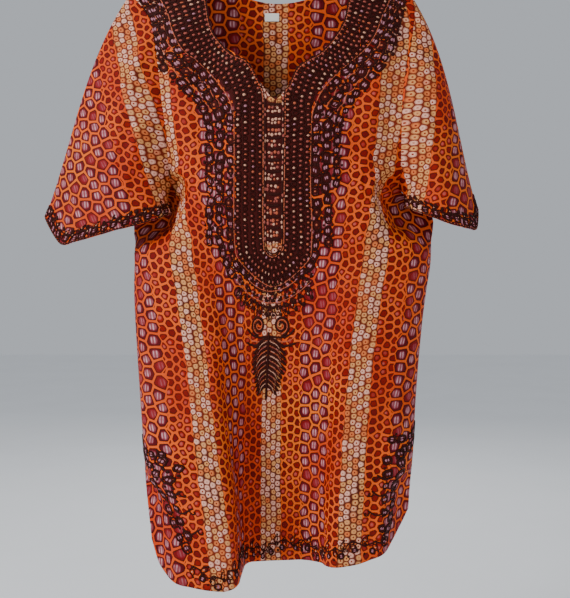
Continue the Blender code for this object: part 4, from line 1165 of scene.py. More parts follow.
# --- shaders
class Num:
    """A number in a shader: a socket that takes arithmetic."""

    def __init__(self, shader: "Shader", socket: bpy.types.NodeSocket) -> None:
        """Wrap a socket of a shader."""
        self.shader = shader
        self.socket = socket

    def math(self, operation: str, *others: object) -> "Num":
        """A Math node with this number first."""
        return self.shader.maths(operation, self, *others)

    def __add__(self, other: object) -> "Num":
        """Sum."""
        return self.math("ADD", other)

    __radd__ = __add__

    def __mul__(self, other: object) -> "Num":
        """Product."""
        return self.math("MULTIPLY", other)

    __rmul__ = __mul__

    def __sub__(self, other: object) -> "Num":
        """Difference."""
        return self.math("SUBTRACT", other)

    def __rsub__(self, other: object) -> "Num":
        """Difference, this number second."""
        return self.shader.maths("SUBTRACT", other, self)

    def __truediv__(self, other: object) -> "Num":
        """Quotient."""
        return self.math("DIVIDE", other)

    def __rtruediv__(self, other: object) -> "Num":
        """Quotient, this number second."""
        return self.shader.maths("DIVIDE", other, self)

    def __pow__(self, other: object) -> "Num":
        """Power."""
        return self.math("POWER", other)

    def step(self, low: float, high: float) -> "Num":
        """Ease from 0 at low to 1 at high, or from 1 to 0 where high is below low.

        Args:
            low: Where it is still 0.
            high: Where it has reached 1.

        Returns:
            The eased number.
        """
        ends = (1.0, 0.0) if high < low else (0.0, 1.0)
        out = self.shader.node("ShaderNodeMapRange", {"interpolation_type": "SMOOTHSTEP"},
                               {"Value": self, "From Min": min(low, high),
                                "From Max": max(low, high), "To Min": ends[0],
                                "To Max": ends[1]})
        return Num(self.shader, out.outputs["Result"])


Colour = tuple


def rgb(*display: float) -> Colour:
    """Linear colour from red, green and blue display values of 0 to 255."""
    return tuple(v / 12.92 if v <= 0.04045 else ((v + 0.055) / 1.055) ** 2.4
                 for v in (value / 255.0 for value in display)) + (1.0,)


class Shader:
    """A material's node tree, built by small calls."""

    def __init__(self, name: str) -> None:
        """Make a material with a Principled surface.

        Args:
            name: Name of the material.
        """
        self.material = bpy.data.materials.new(name)
        self.material.use_nodes = True
        self.tree = self.material.node_tree
        self.surface = self.tree.nodes["Principled BSDF"]

    def node(self, kind: str, settings: dict, inputs: dict) -> bpy.types.Node:
        """Add a node.

        Args:
            kind: Node type.
            settings: Properties, set before the inputs.
            inputs: Values, numbers or sockets by input name or index.

        Returns:
            The node.
        """
        made = self.tree.nodes.new(kind)
        for key, value in settings.items():
            setattr(made, key, value)
        for key, value in inputs.items():
            self.put(made.inputs[key], value)
        return made

    def put(self, target: bpy.types.NodeSocket, value: object) -> None:
        """Set an input to a value, or link it.

        Args:
            target: The input.
            value: A constant, a number or a socket.
        """
        if isinstance(value, Num):
            value = value.socket
        if isinstance(value, bpy.types.NodeSocket):
            self.tree.links.new(value, target)
        else:
            target.default_value = value

    def maths(self, operation: str, *values: object) -> Num:
        """A Math node over numbers and constants."""
        made = self.node("ShaderNodeMath", {"operation": operation}, dict(enumerate(values)))
        return Num(self, made.outputs[0])

    def vector(self, operation: str, *values: object) -> bpy.types.NodeSocket:
        """A Vector Math node that gives a vector."""
        made = self.node("ShaderNodeVectorMath", {"operation": operation},
                         dict(enumerate(values)))
        return made.outputs["Vector"]

    def mix(self, share: object, a: object, b: object) -> bpy.types.NodeSocket:
        """Mix two colours."""
        return self.node("ShaderNodeMix", {"data_type": "RGBA"},
                         {0: share, 6: a, 7: b}).outputs[2]

    def split(self, vector: object) -> tuple:
        """X, Y and Z of a vector."""
        made = self.node("ShaderNodeSeparateXYZ", {}, {"Vector": vector})
        return tuple(Num(self, made.outputs[k]) for k in "XYZ")

    def join(self, x: object, y: object, z: object = 0.0) -> bpy.types.NodeSocket:
        """A vector from three numbers."""
        return self.node("ShaderNodeCombineXYZ", {}, {0: x, 1: y, 2: z}).outputs[0]

    def length(self, x: Num, y: Num) -> Num:
        """Length of a flat vector."""
        return (x * x + y * y).math("SQRT")

    def place(self) -> bpy.types.NodeSocket:
        """Place on the object (m)."""
        return self.node("ShaderNodeTexCoord", {}, {}).outputs["Object"]

    def noise(self, vector: object, scale: float, detail: float) -> bpy.types.Node:
        """A noise texture."""
        return self.node("ShaderNodeTexNoise", {},
                         {"Vector": vector, "Scale": scale, "Detail": detail})

    def spots(self, vector: object, scale: float, detail: float) -> Num:
        """Soft uneven spots from 0 to 1."""
        return Num(self, self.noise(vector, scale, detail).outputs["Fac"])

    def finish(self, colour: object, roughness: object, bump: object, depth: float,
               **constants: float) -> bpy.types.Material:
        """Wire the surface.

        Args:
            colour: Base colour.
            roughness: Roughness.
            bump: Height of the fine relief.
            depth: How deep the relief is (m).
            constants: Other inputs of the surface, by name.

        Returns:
            The material.
        """
        made = self.node("ShaderNodeBump", {}, {"Height": bump, "Distance": depth,
                                                "Strength": 1.0})
        inputs = {"Base Color": colour, "Roughness": roughness, "Normal": made.outputs["Normal"],
                  **{key.replace("_", " "): value for key, value in constants.items()}}
        for key, value in inputs.items():
            self.put(self.surface.inputs[key], value)
        return self.material


class Cell(Enum):
    """Kinds of scale in the print."""

    BEAD = 0
    MIDDLE = 1
    LARGE = 2


@dataclass(frozen=True)
class Print:
    """A wax print of rounded scales in lengthwise bands that repeat across the cloth.

    Attributes:
        start: Where the first column of each kind begins across a repeat (mm).
        width: Width of a column of each kind (mm).
        tall: Height of a scale, as a share of its column's width.
        wild: How far each kind strays from its place.
        beads: Width of the band of beads (mm), which opens each repeat.
        large: Where the large scales begin and end across a repeat (mm).
        repeat: Width of a repeat (mm); the middle of the cloth is the middle of the beads.
    """

    start: dict = field(default_factory=lambda: dict(zip(Cell, (0.0, 38.0, 72.8))))
    width: dict = field(default_factory=lambda: dict(zip(Cell, (9.5, 11.6, 19.333))))
    tall: dict = field(default_factory=lambda: dict(zip(Cell, (0.90, 1.12, 0.98))))
    wild: dict = field(default_factory=lambda: dict(zip(Cell, (0.20, 0.28, 0.26))))
    beads: float = 38.0
    large: tuple = (72.8, 130.8)
    repeat: float = 165.6
    line: Colour = rgb(232, 92, 24)
    # the duller line colour below is painted shade: the lines as they look in shaded folds
    line_painted_shade: Colour = rgb(206, 62, 18)
    red: Colour = rgb(158, 18, 4)
    red_dark: Colour = rgb(104, 4, 3)
    rim: Colour = rgb(78, 5, 1)
    maroon: Colour = rgb(88, 3, 14)
    lilac: Colour = rgb(246, 190, 196)
    cream: Colour = rgb(222, 152, 92)
    tan: Colour = rgb(218, 116, 62)
    pink: Colour = rgb(238, 176, 152)
    brown: Colour = rgb(84, 24, 8)
    brown_red: Colour = rgb(132, 38, 12)
    line_warm: Colour = rgb(238, 124, 24)
    blush: Colour = rgb(214, 104, 92)
    purple: Colour = rgb(122, 14, 36)
    rim_dark: Colour = rgb(58, 2, 4)
    worn: Colour = rgb(176, 52, 26)

    def nearest(self, shader: Shader, one: tuple, two: tuple) -> tuple:
        """The nearer of two scales, and how far off the other is.

        Args:
            shader: The tree.
            one: Distance to a scale's middle, and the vector kept with it.
            two: The same for another.

        Returns:
            The nearer pair, and the other's distance.
        """
        swap = two[0].math("LESS_THAN", one[0])
        kept = shader.node("ShaderNodeMix", {"data_type": "VECTOR"},
                           {0: swap, 4: one[1], 5: two[1]}).outputs[1]
        return (one[0].math("MINIMUM", two[0]), kept), one[0].math("MAXIMUM", two[0])

    def scales(self, shader: Shader, out: Num, along: Num, kind: Cell) -> tuple:
        """One kind of scale, in columns that step half a scale up and down by turns.

        Args:
            shader: The tree.
            out: Place across one repeat from its start (m).
            along: Place along the cloth (m).
            kind: Which kind.

        Returns:
            Distance to the scale's edge (m), place from its middle across and along (m), and a
            random number for it.
        """
        width = self.width[kind] * MM
        height = width * self.tall[kind]
        wild = self.wild[kind]
        phase = self.start[kind] * MM + (0.5 - wild - 40.0) * width
        found = []
        for odd in (0.0, 1.0):
            place = shader.join((out - phase - odd * width) / (2.0 * width),
                                along / height + (0.5 + 31.0 * kind.value + 57.0) * odd + 200.0)
            pair = []
            for feature in ("F1", "F2"):
                spot = shader.node("ShaderNodeTexVoronoi",
                                   {"voronoi_dimensions": "2D", "feature": feature},
                                   {"Vector": place, "Scale": 1.0, "Randomness": wild})
                dx, dy, _ = shader.split(
                    shader.vector("SUBTRACT", place, spot.outputs["Position"]))
                dx = dx * (2.0 * width)
                dy = dy * height
                chance, _, _ = shader.split(spot.outputs["Color"])
                reach = shader.length(dx, dy)
                pair.append((reach, shader.join(dx, dy, chance)))
            found.append(self.nearest(shader, *pair))
        (even, even_far), (odd_one, odd_far) = found
        (reach, kept), second = self.nearest(shader, even, odd_one)
        second = second.math("MINIMUM", even_far.math("MINIMUM", odd_far))
        dx, dy, chance = shader.split(kept)
        return (second - reach) * 0.5, dx, dy, chance

    def colour(self, shader: Shader, flat: object) -> bpy.types.NodeSocket:
        """Colour of the print, with painted shade on its lines in random broad patches.

        Args:
            shader: The tree.
            flat: Place on the flat cloth (m).

        Returns:
            The colour there.
        """
        mix = shader.mix
        across, along, _ = shader.split(flat)
        repeat = self.repeat * MM
        from_start = across + 0.5 * self.beads * MM
        # the outermost bands of beads are the last; past them the large scales run on
        turn = (from_start / repeat).math("FLOOR").math("MAXIMUM", -2.0).math("MINIMUM", 1.0)
        out = from_start - turn * repeat
        along = along + turn * 1.37
        outer_left, outer_right = turn.math("LESS_THAN", -1.5), turn.math("GREATER_THAN", 0.5)
        # broad random patches: they lay painted shade on the lines, and a redder tone in the gaps
        # between the beads
        patch = shader.spots(flat, 7.0, 2.0).step(0.38, 0.62)
        warm = shader.spots(shader.vector("ADD", flat, (3.1, 7.7, 0.0)), 5.0, 1.0).step(0.50, 0.66)
        line = mix(warm * 0.45, mix(patch, self.line, self.line_painted_shade), self.line_warm)

        edge, dx, dy, chance = self.scales(shader, out, along, Cell.MIDDLE)
        fill = mix(chance, self.red, self.red_dark)
        core = shader.length(dx, dy).step(0.0036, 0.0012) * chance.step(0.45, 0.15) * 0.55
        fill = mix(edge.step(0.0021, 0.0040), self.rim, mix(core, fill, self.blush))
        colour = mix(edge.step(0.0011, 0.0019), line, fill)

        edge, dx, dy, chance = self.scales(shader, out, along, Cell.LARGE)
        middle = out - dx
        here = middle.math("GREATER_THAN", self.large[0] * MM).math("MAXIMUM", outer_left)
        here = here * middle.math("LESS_THAN", self.large[1] * MM).math("MAXIMUM", outer_right)
        lean = dx + dy * (chance - 0.5) * 0.5
        streak = shader.maths("COSINE", lean * 1300.0 + chance * 9.0) * 0.5 + 0.5
        beat = (dy * 260.0 + chance * 9.0).math("SINE").math("ABSOLUTE")
        streak = streak ** 2.6 * (0.45 + 0.55 * beat)
        square = dx.math("ABSOLUTE").math("MAXIMUM", dy.math("ABSOLUTE"))
        reach = shader.length(dx, dy) * 0.7 + square * 0.3
        core = reach.step(0.0064, 0.0034) * edge.step(0.0020, 0.0036) * (0.14 + 0.86 * streak)
        plain_one = chance.step(0.70, 0.78)
        inside = mix(reach.step(0.0072, 0.0048), self.maroon, self.purple)
        inside = mix(plain_one * 0.35, inside, self.red)
        fill = mix(core * (0.60 + 0.40 * chance) * (1.0 - 0.85 * plain_one), inside, self.lilac)
        fill = mix(edge.step(0.0021, 0.0036), self.rim_dark, fill)
        colour = mix(here, colour, mix(edge.step(0.0011, 0.0019), line, fill))

        edge, dx, dy, chance = self.scales(shader, out, along, Cell.BEAD)
        kept = (out - dx).math("LESS_THAN", (self.beads + 0.5) * MM)
        band = out.step((self.beads + 0.4) * MM, (self.beads - 0.4) * MM) * (1.0 - outer_left)
        reach = shader.length(dx, dy)
        other = (chance * 7.31).math("FRACT")
        bead = mix(chance.step(0.40, 0.60), self.pink, self.cream)
        bead = mix(other.step(0.72, 0.82), bead, self.tan)
        ring = reach.step(0.0017, 0.0009) * (0.45 + 0.55 * other.step(0.15, 0.35))
        bead = mix(ring, bead, self.brown_red)
        bead = mix(reach.step(0.0026, 0.0042) * 0.50, bead, self.brown)
        gap = mix(patch * 0.6, self.brown, self.brown_red)
        size = (reach + chance * 0.0006).step(0.0056, 0.0048) * edge.step(0.0004, 0.0011)
        return mix(band, colour, mix(size * kept, gap, bead))

    def material(self, name: str) -> bpy.types.Material:
        """The printed cotton.

        Args:
            name: Name of the material.

        Returns:
            The material.
        """
        shader = Shader(name)
        flat = shader.node("ShaderNodeUVMap", {"uv_map": "flat"}, {}).outputs["UV"]
        wander = shader.vector("SUBTRACT", shader.noise(flat, 22.0, 2.0).outputs["Color"],
                               (0.5, 0.5, 0.5))
        wander = shader.node("ShaderNodeVectorMath", {"operation": "SCALE"},
                             {0: wander, "Scale": 0.0045}).outputs["Vector"]
        colour = self.colour(shader, shader.vector("ADD", flat, wander))
        across, along, _ = shader.split(flat)
        weft, warp = (shader.maths("SINE", way * 9000.0) for way in (across, along))
        slub, age = shader.spots(flat, 900.0, 2.0), shader.spots(flat, 9.0, 3.0)
        colour = shader.mix(age.step(0.40, 0.75) * 0.10, colour, self.worn)
        return shader.finish(colour, 0.74 - 0.10 * age, weft * warp * 0.5 + slub, 0.00008,
                             Specular_IOR_Level=0.13)


@dataclass(frozen=True)
class Thread:
    """Dyed embroidery thread with a twist that shows close up."""

    dark: Colour
    light: Colour
    gloss: float = 0.25

    def material(self, name: str) -> bpy.types.Material:
        """The thread's material.

        Args:
            name: Name of the material.

        Returns:
            The material.
        """
        shader = Shader(name)
        place = shader.place()
        x, y, z = shader.split(place)
        twist = shader.maths("SINE", (x + z * 0.8 + y * 0.6) * 5200.0) * 0.5 + 0.5
        wear, fuzz = shader.spots(place, 60.0, 3.0), shader.spots(place, 1500.0, 1.0)
        colour = shader.mix(twist * 0.5 * wear, self.dark, self.light)
        return shader.finish(colour, 0.42 + 0.25 * wear, twist + fuzz * 0.5, 0.00015,
                             Specular_IOR_Level=self.gloss)


@dataclass(frozen=True)
class Wood:
    """Varnished wood with grain along the bar."""

    light: Colour = rgb(196, 150, 100)
    dark: Colour = rgb(142, 96, 56)
    pore: Colour = rgb(110, 70, 40)

    def material(self, name: str) -> bpy.types.Material:
        """The wood's material.

        Args:
            name: Name of the material.

        Returns:
            The material.
        """
        shader = Shader(name)
        x, y, z = shader.split(shader.place())
        waves = shader.node("ShaderNodeTexWave", {"wave_type": "RINGS", "rings_direction": "X"},
                            {"Vector": shader.join(x * 0.10, y, z), "Scale": 120.0,
                             "Distortion": 4.0, "Detail": 3.0})
        grain = Num(shader, waves.outputs["Fac"])
        pores = shader.spots(shader.join(x * 20.0, y * 260.0, z * 260.0), 4.0, 3.0)
        colour = shader.mix(grain * 0.7, self.light, self.dark)
        colour = shader.mix(pores.step(0.55, 0.75) * 0.5, colour, self.pore)
        return shader.finish(colour, 0.32 + 0.15 * pores, pores, 0.0002, Coat_Weight=0.25,
                             Coat_Roughness=0.2)


@dataclass(frozen=True)
class Wire:
    """Bright drawn wire with fine lengthwise marks and a little dulling."""

    tone: Colour = rgb(200, 201, 204)
    dulled: Colour = rgb(140, 136, 130)

    def material(self, name: str) -> bpy.types.Material:
        """The wire's material.

        Args:
            name: Name of the material.

        Returns:
            The material.
        """
        shader = Shader(name)
        place = shader.place()
        marks, dull = shader.spots(place, 900.0, 2.0), shader.spots(place, 70.0, 3.0)
        colour = shader.mix(dull.step(0.5, 0.8) * 0.4, self.tone, self.dulled)
        return shader.finish(colour, 0.16 + 0.22 * dull, marks, 0.00004, Metallic=1.0)


@dataclass(frozen=True)
class Plain:
    """A plain woven tape or a matt backdrop, with a little unevenness."""

    tone: Colour
    scale: float = 400.0
    depth: float = 0.00008

    def material(self, name: str) -> bpy.types.Material:
        """The tape's or the backdrop's material.

        Args:
            name: Name of the material.

        Returns:
            The material.
        """
        shader = Shader(name)
        spots = shader.spots(shader.place(), self.scale, 3.0)
        shade = tuple(v * 0.6 for v in self.tone[:3]) + (1.0,)
        colour = shader.mix(spots * 0.18, self.tone, shade)
        return shader.finish(colour, 0.78 + 0.1 * spots, spots, self.depth)


# --- embroidery
class Tone(IntEnum):
    """Colours of thread, in the order of their materials."""

    DARK = 0
    PALE = 1
    LILAC = 2
    TAN = 3
    MAROON = 4
    ROSE = 5


def through(points: Sequence[tuple], step: float) -> np.ndarray:
    """A smooth curve through some places.

    Args:
        points: The places.
        step: Distance to keep between points of the curve, nearly.

    Returns:
        Points at even steps along the curve.
    """
    pts = np.asarray(points, float)
    dense = finer(pts, 12, 0) if len(pts) > 2 else np.linspace(pts[0], pts[1], 25)
    runs = runs_along(dense)
    at = np.linspace(0.0, runs[-1], max(2, int(round(runs[-1] / step)) + 1))
    return np.stack([np.interp(at, runs, dense[:, k]) for k in range(2)], axis=1)


def headings(path: np.ndarray) -> np.ndarray:
    """Unit direction at each point of a path."""
    return unit(np.gradient(path, axis=0))


def aside(aims: np.ndarray) -> np.ndarray:
    """Directions a quarter turn to the left of some others."""
    return np.stack([-aims[:, 1], aims[:, 0]], 1)


@dataclass
class Stitching:
    """Raised thread on one cloth, gathered into one mesh.

    Attributes:
        lattice: The surface to sew on.
        seed: Start of its random draws.
        square: Power that makes a loop squarer than an ellipse where it is below 1.
        uneven: How far loops stray from their size, as a share.
        squashed: How far knots stray from round, as a share.
        splay: Angle by which a cord reaches round below its own widest line.
        patch_lines: Ridges of satin stitch and the valleys between them.
    """

    lattice: Lattice
    seed: int = 11
    square: float = 0.85
    uneven: float = 0.07
    squashed: float = 0.2
    splay: float = 0.35
    patch_lines: int = 25

    def __post_init__(self) -> None:
        """Start with no thread."""
        self.chance = np.random.default_rng(self.seed)
        self.verts, self.faces, self.tones = [], [], []
        self.count = 0

    def add(self, a: np.ndarray, b: np.ndarray, height: np.ndarray, faces: np.ndarray,
            tone: Tone) -> None:
        """Add thread.

        Args:
            a: First coordinate of each vertex on the cloth.
            b: Second coordinate.
            height: Height above the cloth.
            faces: Faces, by vertex number.
            tone: Colour.
        """
        self.verts.append(self.lattice.at(a, b, height).reshape(-1, 3))
        self.faces.append(faces + self.count)
        self.tones.append(np.full(len(faces), int(tone)))
        self.count += a.size

    def stamp(self, places: np.ndarray, aims: np.ndarray, du: np.ndarray, dv: np.ndarray,
              up: np.ndarray, index: np.ndarray, tone: Tone) -> None:
        """Add one small form at each place.

        Args:
            places: Where the forms stand, n x 2.
            aims: Which way they point, n x 2.
            du: Vertices along the aim.
            dv: Vertices across it.
            up: Heights.
            index: Vertex numbers of one form, as a grid.
            tone: Colour.
        """
        aim_u, aim_v = aims[:, 0, None, None], aims[:, 1, None, None]
        a = places[:, 0, None, None] + du * aim_u - dv * aim_v
        b = places[:, 1, None, None] + du * aim_v + dv * aim_u
        first = np.arange(len(places)) * (index.max() + 1)
        faces = quads(index)[None, :, TURNED_OVER] + first[:, None, None]
        self.add(a, b, np.broadcast_to(up, a.shape), faces.reshape(-1, 4), tone)

    def stray(self, places: np.ndarray, spread: float) -> np.ndarray:
        """Places moved a little by chance."""
        return places + self.chance.normal(0.0, spread, places.shape)

    def dealt(self, count: int, shares: Sequence[tuple]) -> list:
        """Tones dealt out by chance, as (tone, which places), from (from, to, tone)."""
        pick = self.chance.random(count)
        return [(tone, (pick >= least) & (pick < most)) for least, most, tone in shares]

    def rings(self, places: np.ndarray, aims: np.ndarray, along: np.ndarray | float,
              across: np.ndarray | float, tube: float = 1.5, height: float = 1.2,
              segments: int = 10) -> None:
        """Small closed loops of dark thread.

        Args:
            places: Middle of each loop, n x 2.
            aims: Direction of each loop's long axis, n x 2.
            along: Outer half size along that axis.
            across: Outer half size across it.
            tube: Half width of the thread.
            height: How far it stands up.
            segments: Sides of a loop.
        """
        n, sides = len(places), 4
        if not n:
            return
        turn = (np.arange(segments) * 2 * math.pi / segments)[None, :, None]
        section = (np.arange(sides) * 2 * math.pi / sides)[None, None, :]
        wobble = 1.0 + self.uneven * self.chance.standard_normal((n, segments, 1))
        out = tube * np.cos(section)
        du, dv = (np.sign(way) * np.abs(way) ** self.square
                  * ((np.broadcast_to(half, (n,))[:, None, None] - tube) * wobble + out)
                  for way, half in ((np.cos(turn), along), (np.sin(turn), across)))
        index = np.pad(np.arange(segments * sides).reshape(segments, sides), (0, 1), "wrap")
        self.stamp(places, aims, du, dv, height * (0.45 + 0.62 * np.sin(section)), index,
                   Tone.DARK)

    def knots(self, places: np.ndarray, radius: np.ndarray | float, height: float = 0.9,
              tone: Tone = Tone.PALE, long: float = 1.0, aims: np.ndarray | None = None) -> None:
        """Small stitches: round, or drawn out along the way they aim.

        Args:
            places: Middle of each stitch, n x 2.
            radius: Its radius.
            height: How far it stands up.
            tone: Colour.
            long: How far it is drawn out.
            aims: Which way, n x 2.
        """
        n = len(places)
        if not n:
            return
        radius = np.broadcast_to(np.asarray(radius, float), (n,))[:, None, None]
        turn = (np.arange(6) * 2 * math.pi / 6)[None, :, None]
        share = np.array((1.0, 0.75, 0.05))
        squash = 1.0 + self.squashed * self.chance.standard_normal((n, 1, 1))
        du = radius * share * np.cos(turn) * long
        dv = radius * share * np.sin(turn) * squash
        index = np.pad(np.arange(18).reshape(6, 3), ((0, 1), (0, 0)), "wrap")
        self.stamp(places, np.array([[1.0, 0.0]]) if aims is None else aims, du, dv,
                   np.array((0.0, 0.75, 1.0)) * height, index, tone)

    def cord(self, points: Sequence[tuple], width: float = 2.4, height: float = 1.1,
             tone: Tone = Tone.DARK, link: float = 3.4, lift: float = 0.0) -> None:
        """A line of chain stitch along a smooth curve, drawn in at both ends.

        Args:
            points: Places that the curve goes through.
            width: Width of the cord.
            height: How far it stands up.
            tone: Colour.
            link: Length of a stitch.
            lift: How far the whole cord is raised.
        """
        path = through(points, 1.0)
        aim = headings(path)
        run = np.arange(len(path)) * 1.0
        beat = np.abs(np.sin(math.pi * run / link + self.chance.uniform(0, 3)))
        ends = np.clip(np.minimum(run, run[::-1]) / (0.8 * width), 0.12, 1.0) ** 0.5
        half = 0.5 * width * (0.72 + 0.36 * beat) * ends
        turn = np.linspace(-self.splay, math.pi + self.splay, 5)
        a = path[:, 0, None] - aim[:, 1, None] * half[:, None] * np.cos(turn)
        b = path[:, 1, None] + aim[:, 0, None] * half[:, None] * np.cos(turn)
        up = height * (0.8 + 0.25 * beat)[:, None] * ends[:, None] * np.sin(turn) + lift
        self.add(a, b, up, quads(np.arange(a.size).reshape(a.shape)), tone)

    def along(self, points: Sequence[tuple], pitch: float) -> tuple:
        """Places and directions at even steps along a curve."""
        path = through(points, pitch)
        return path, headings(path)

    def patch(self, left: Sequence[tuple], right: Sequence[tuple]) -> None:
        """Close maroon satin stitch between two lines of as many places, in fine ridges.

        Args:
            left: One line.
            right: The other.
        """
        count = self.patch_lines
        share = np.linspace(0.0, 1.0, count)[None, :, None]
        places = (np.asarray(left, float)[:, None] * (1.0 - share)
                  + np.asarray(right, float)[:, None] * share)
        up = 0.35 + 0.12 * np.cos(np.arange(count) * math.pi)[None, :] + 0.0 * places[..., 0]
        up[:, (0, -1)] = up[(0, -1), :] = -0.3
        self.add(places[..., 0], places[..., 1], up,
                 quads(np.arange(up.size).reshape(up.shape)), Tone.MAROON)

    def leaf(self, place: tuple, aim: float, length: float, width: float) -> None:
        """A pointed loop standing on a place.

        Args:
            place: Where it stands.
            aim: Angle that it points at.
            length: Its length.
            width: Its width.
        """
        t = np.linspace(0.0, 1.0, 9)
        side = np.sin(math.pi * t) ** 0.8 * width * 0.5
        cos, sin = math.cos(aim), math.sin(aim)
        for sign in (1, -1):
            u, v = t * length, sign * side
            self.cord(list(zip(place[0] + u * cos - v * sin, place[1] + u * sin + v * cos)), 2.0)

    def curl(self, place: tuple, size: float, turns: float, start: float, hand: int,
             **looks: float) -> None:
        """A spiral from its outer end inwards.

        Args:
            place: Its middle.
            size: Outer radius.
            turns: How often it goes round.
            start: Angle of its outer end.
            hand: 1 to turn left, -1 to turn right.
            looks: How the cord looks.
        """
        t = np.linspace(0.0, 1.0, int(10 * turns) + 4)
        radius = size * (1.0 - 0.82 * t)
        angle = start + hand * t * turns * 2 * math.pi
        self.cord(list(zip(place[0] + radius * np.cos(angle), place[1] + radius * np.sin(angle))),
                  **looks)

    def build(self, name: str, materials: Sequence[bpy.types.Material]) -> bpy.types.Object:
        """The thread as one object."""
        return Shape(np.concatenate(self.verts), np.concatenate(self.faces)).build(
            name, materials, np.concatenate(self.tones))


Pair = namedtuple("Pair", "inner outer far")

# (place across, height) of the neck edge and slit, of the dense band's outer edge, and of the
# loose band's outer edge, from the left shoulder round to the right one
BORDER = table(Pair,
    ((-107, -121), (-160, -141), (-180, -152)), ((-98, -176), (-146, -178), (-168, -180)),
    ((-90, -214), (-137, -216), (-163, -220)), ((-76, -236), (-124, -246), (-158, -256)),
    ((-60, -253), (-105, -264), (-146, -284)), ((-38, -264), (-86, -284), (-130, -304)),
    ((-25, -286), (-71, -304), (-115, -326)), ((-15, -310), (-61, -324), (-105, -344)),
    ((-14, -350), (-57, -352), (-103, -366)), ((-14, -440), (-62, -440), (-112, -440)),
    ((-14, -524), (-68, -524), (-124, -526)), ((-10, -539), (-57, -556), (-106, -580)),
    ((1, -545), (2, -588), (-2, -634)), ((12, -539), (55, -556), (98, -580)),
    ((17, -524), (63, -524), (116, -526)), ((16, -440), (57, -440), (107, -440)),
    ((14, -350), (52, -352), (99, -366)), ((14, -310), (57, -324), (103, -344)),
    ((20, -300), (66, -304), (112, -326)), ((30, -276), (82, -284), (126, -304)),
    ((42, -265), (102, -264), (142, -284)), ((60, -254), (121, -246), (154, -260)),
    ((76, -236), (134, -224), (163, -232)), ((94, -206), (144, -194), (170, -196)),
    ((101, -176), (152, -176), (176, -176)), ((110, -123), (168, -146), (188, -156)))
STRAIGHT = (8, 16)


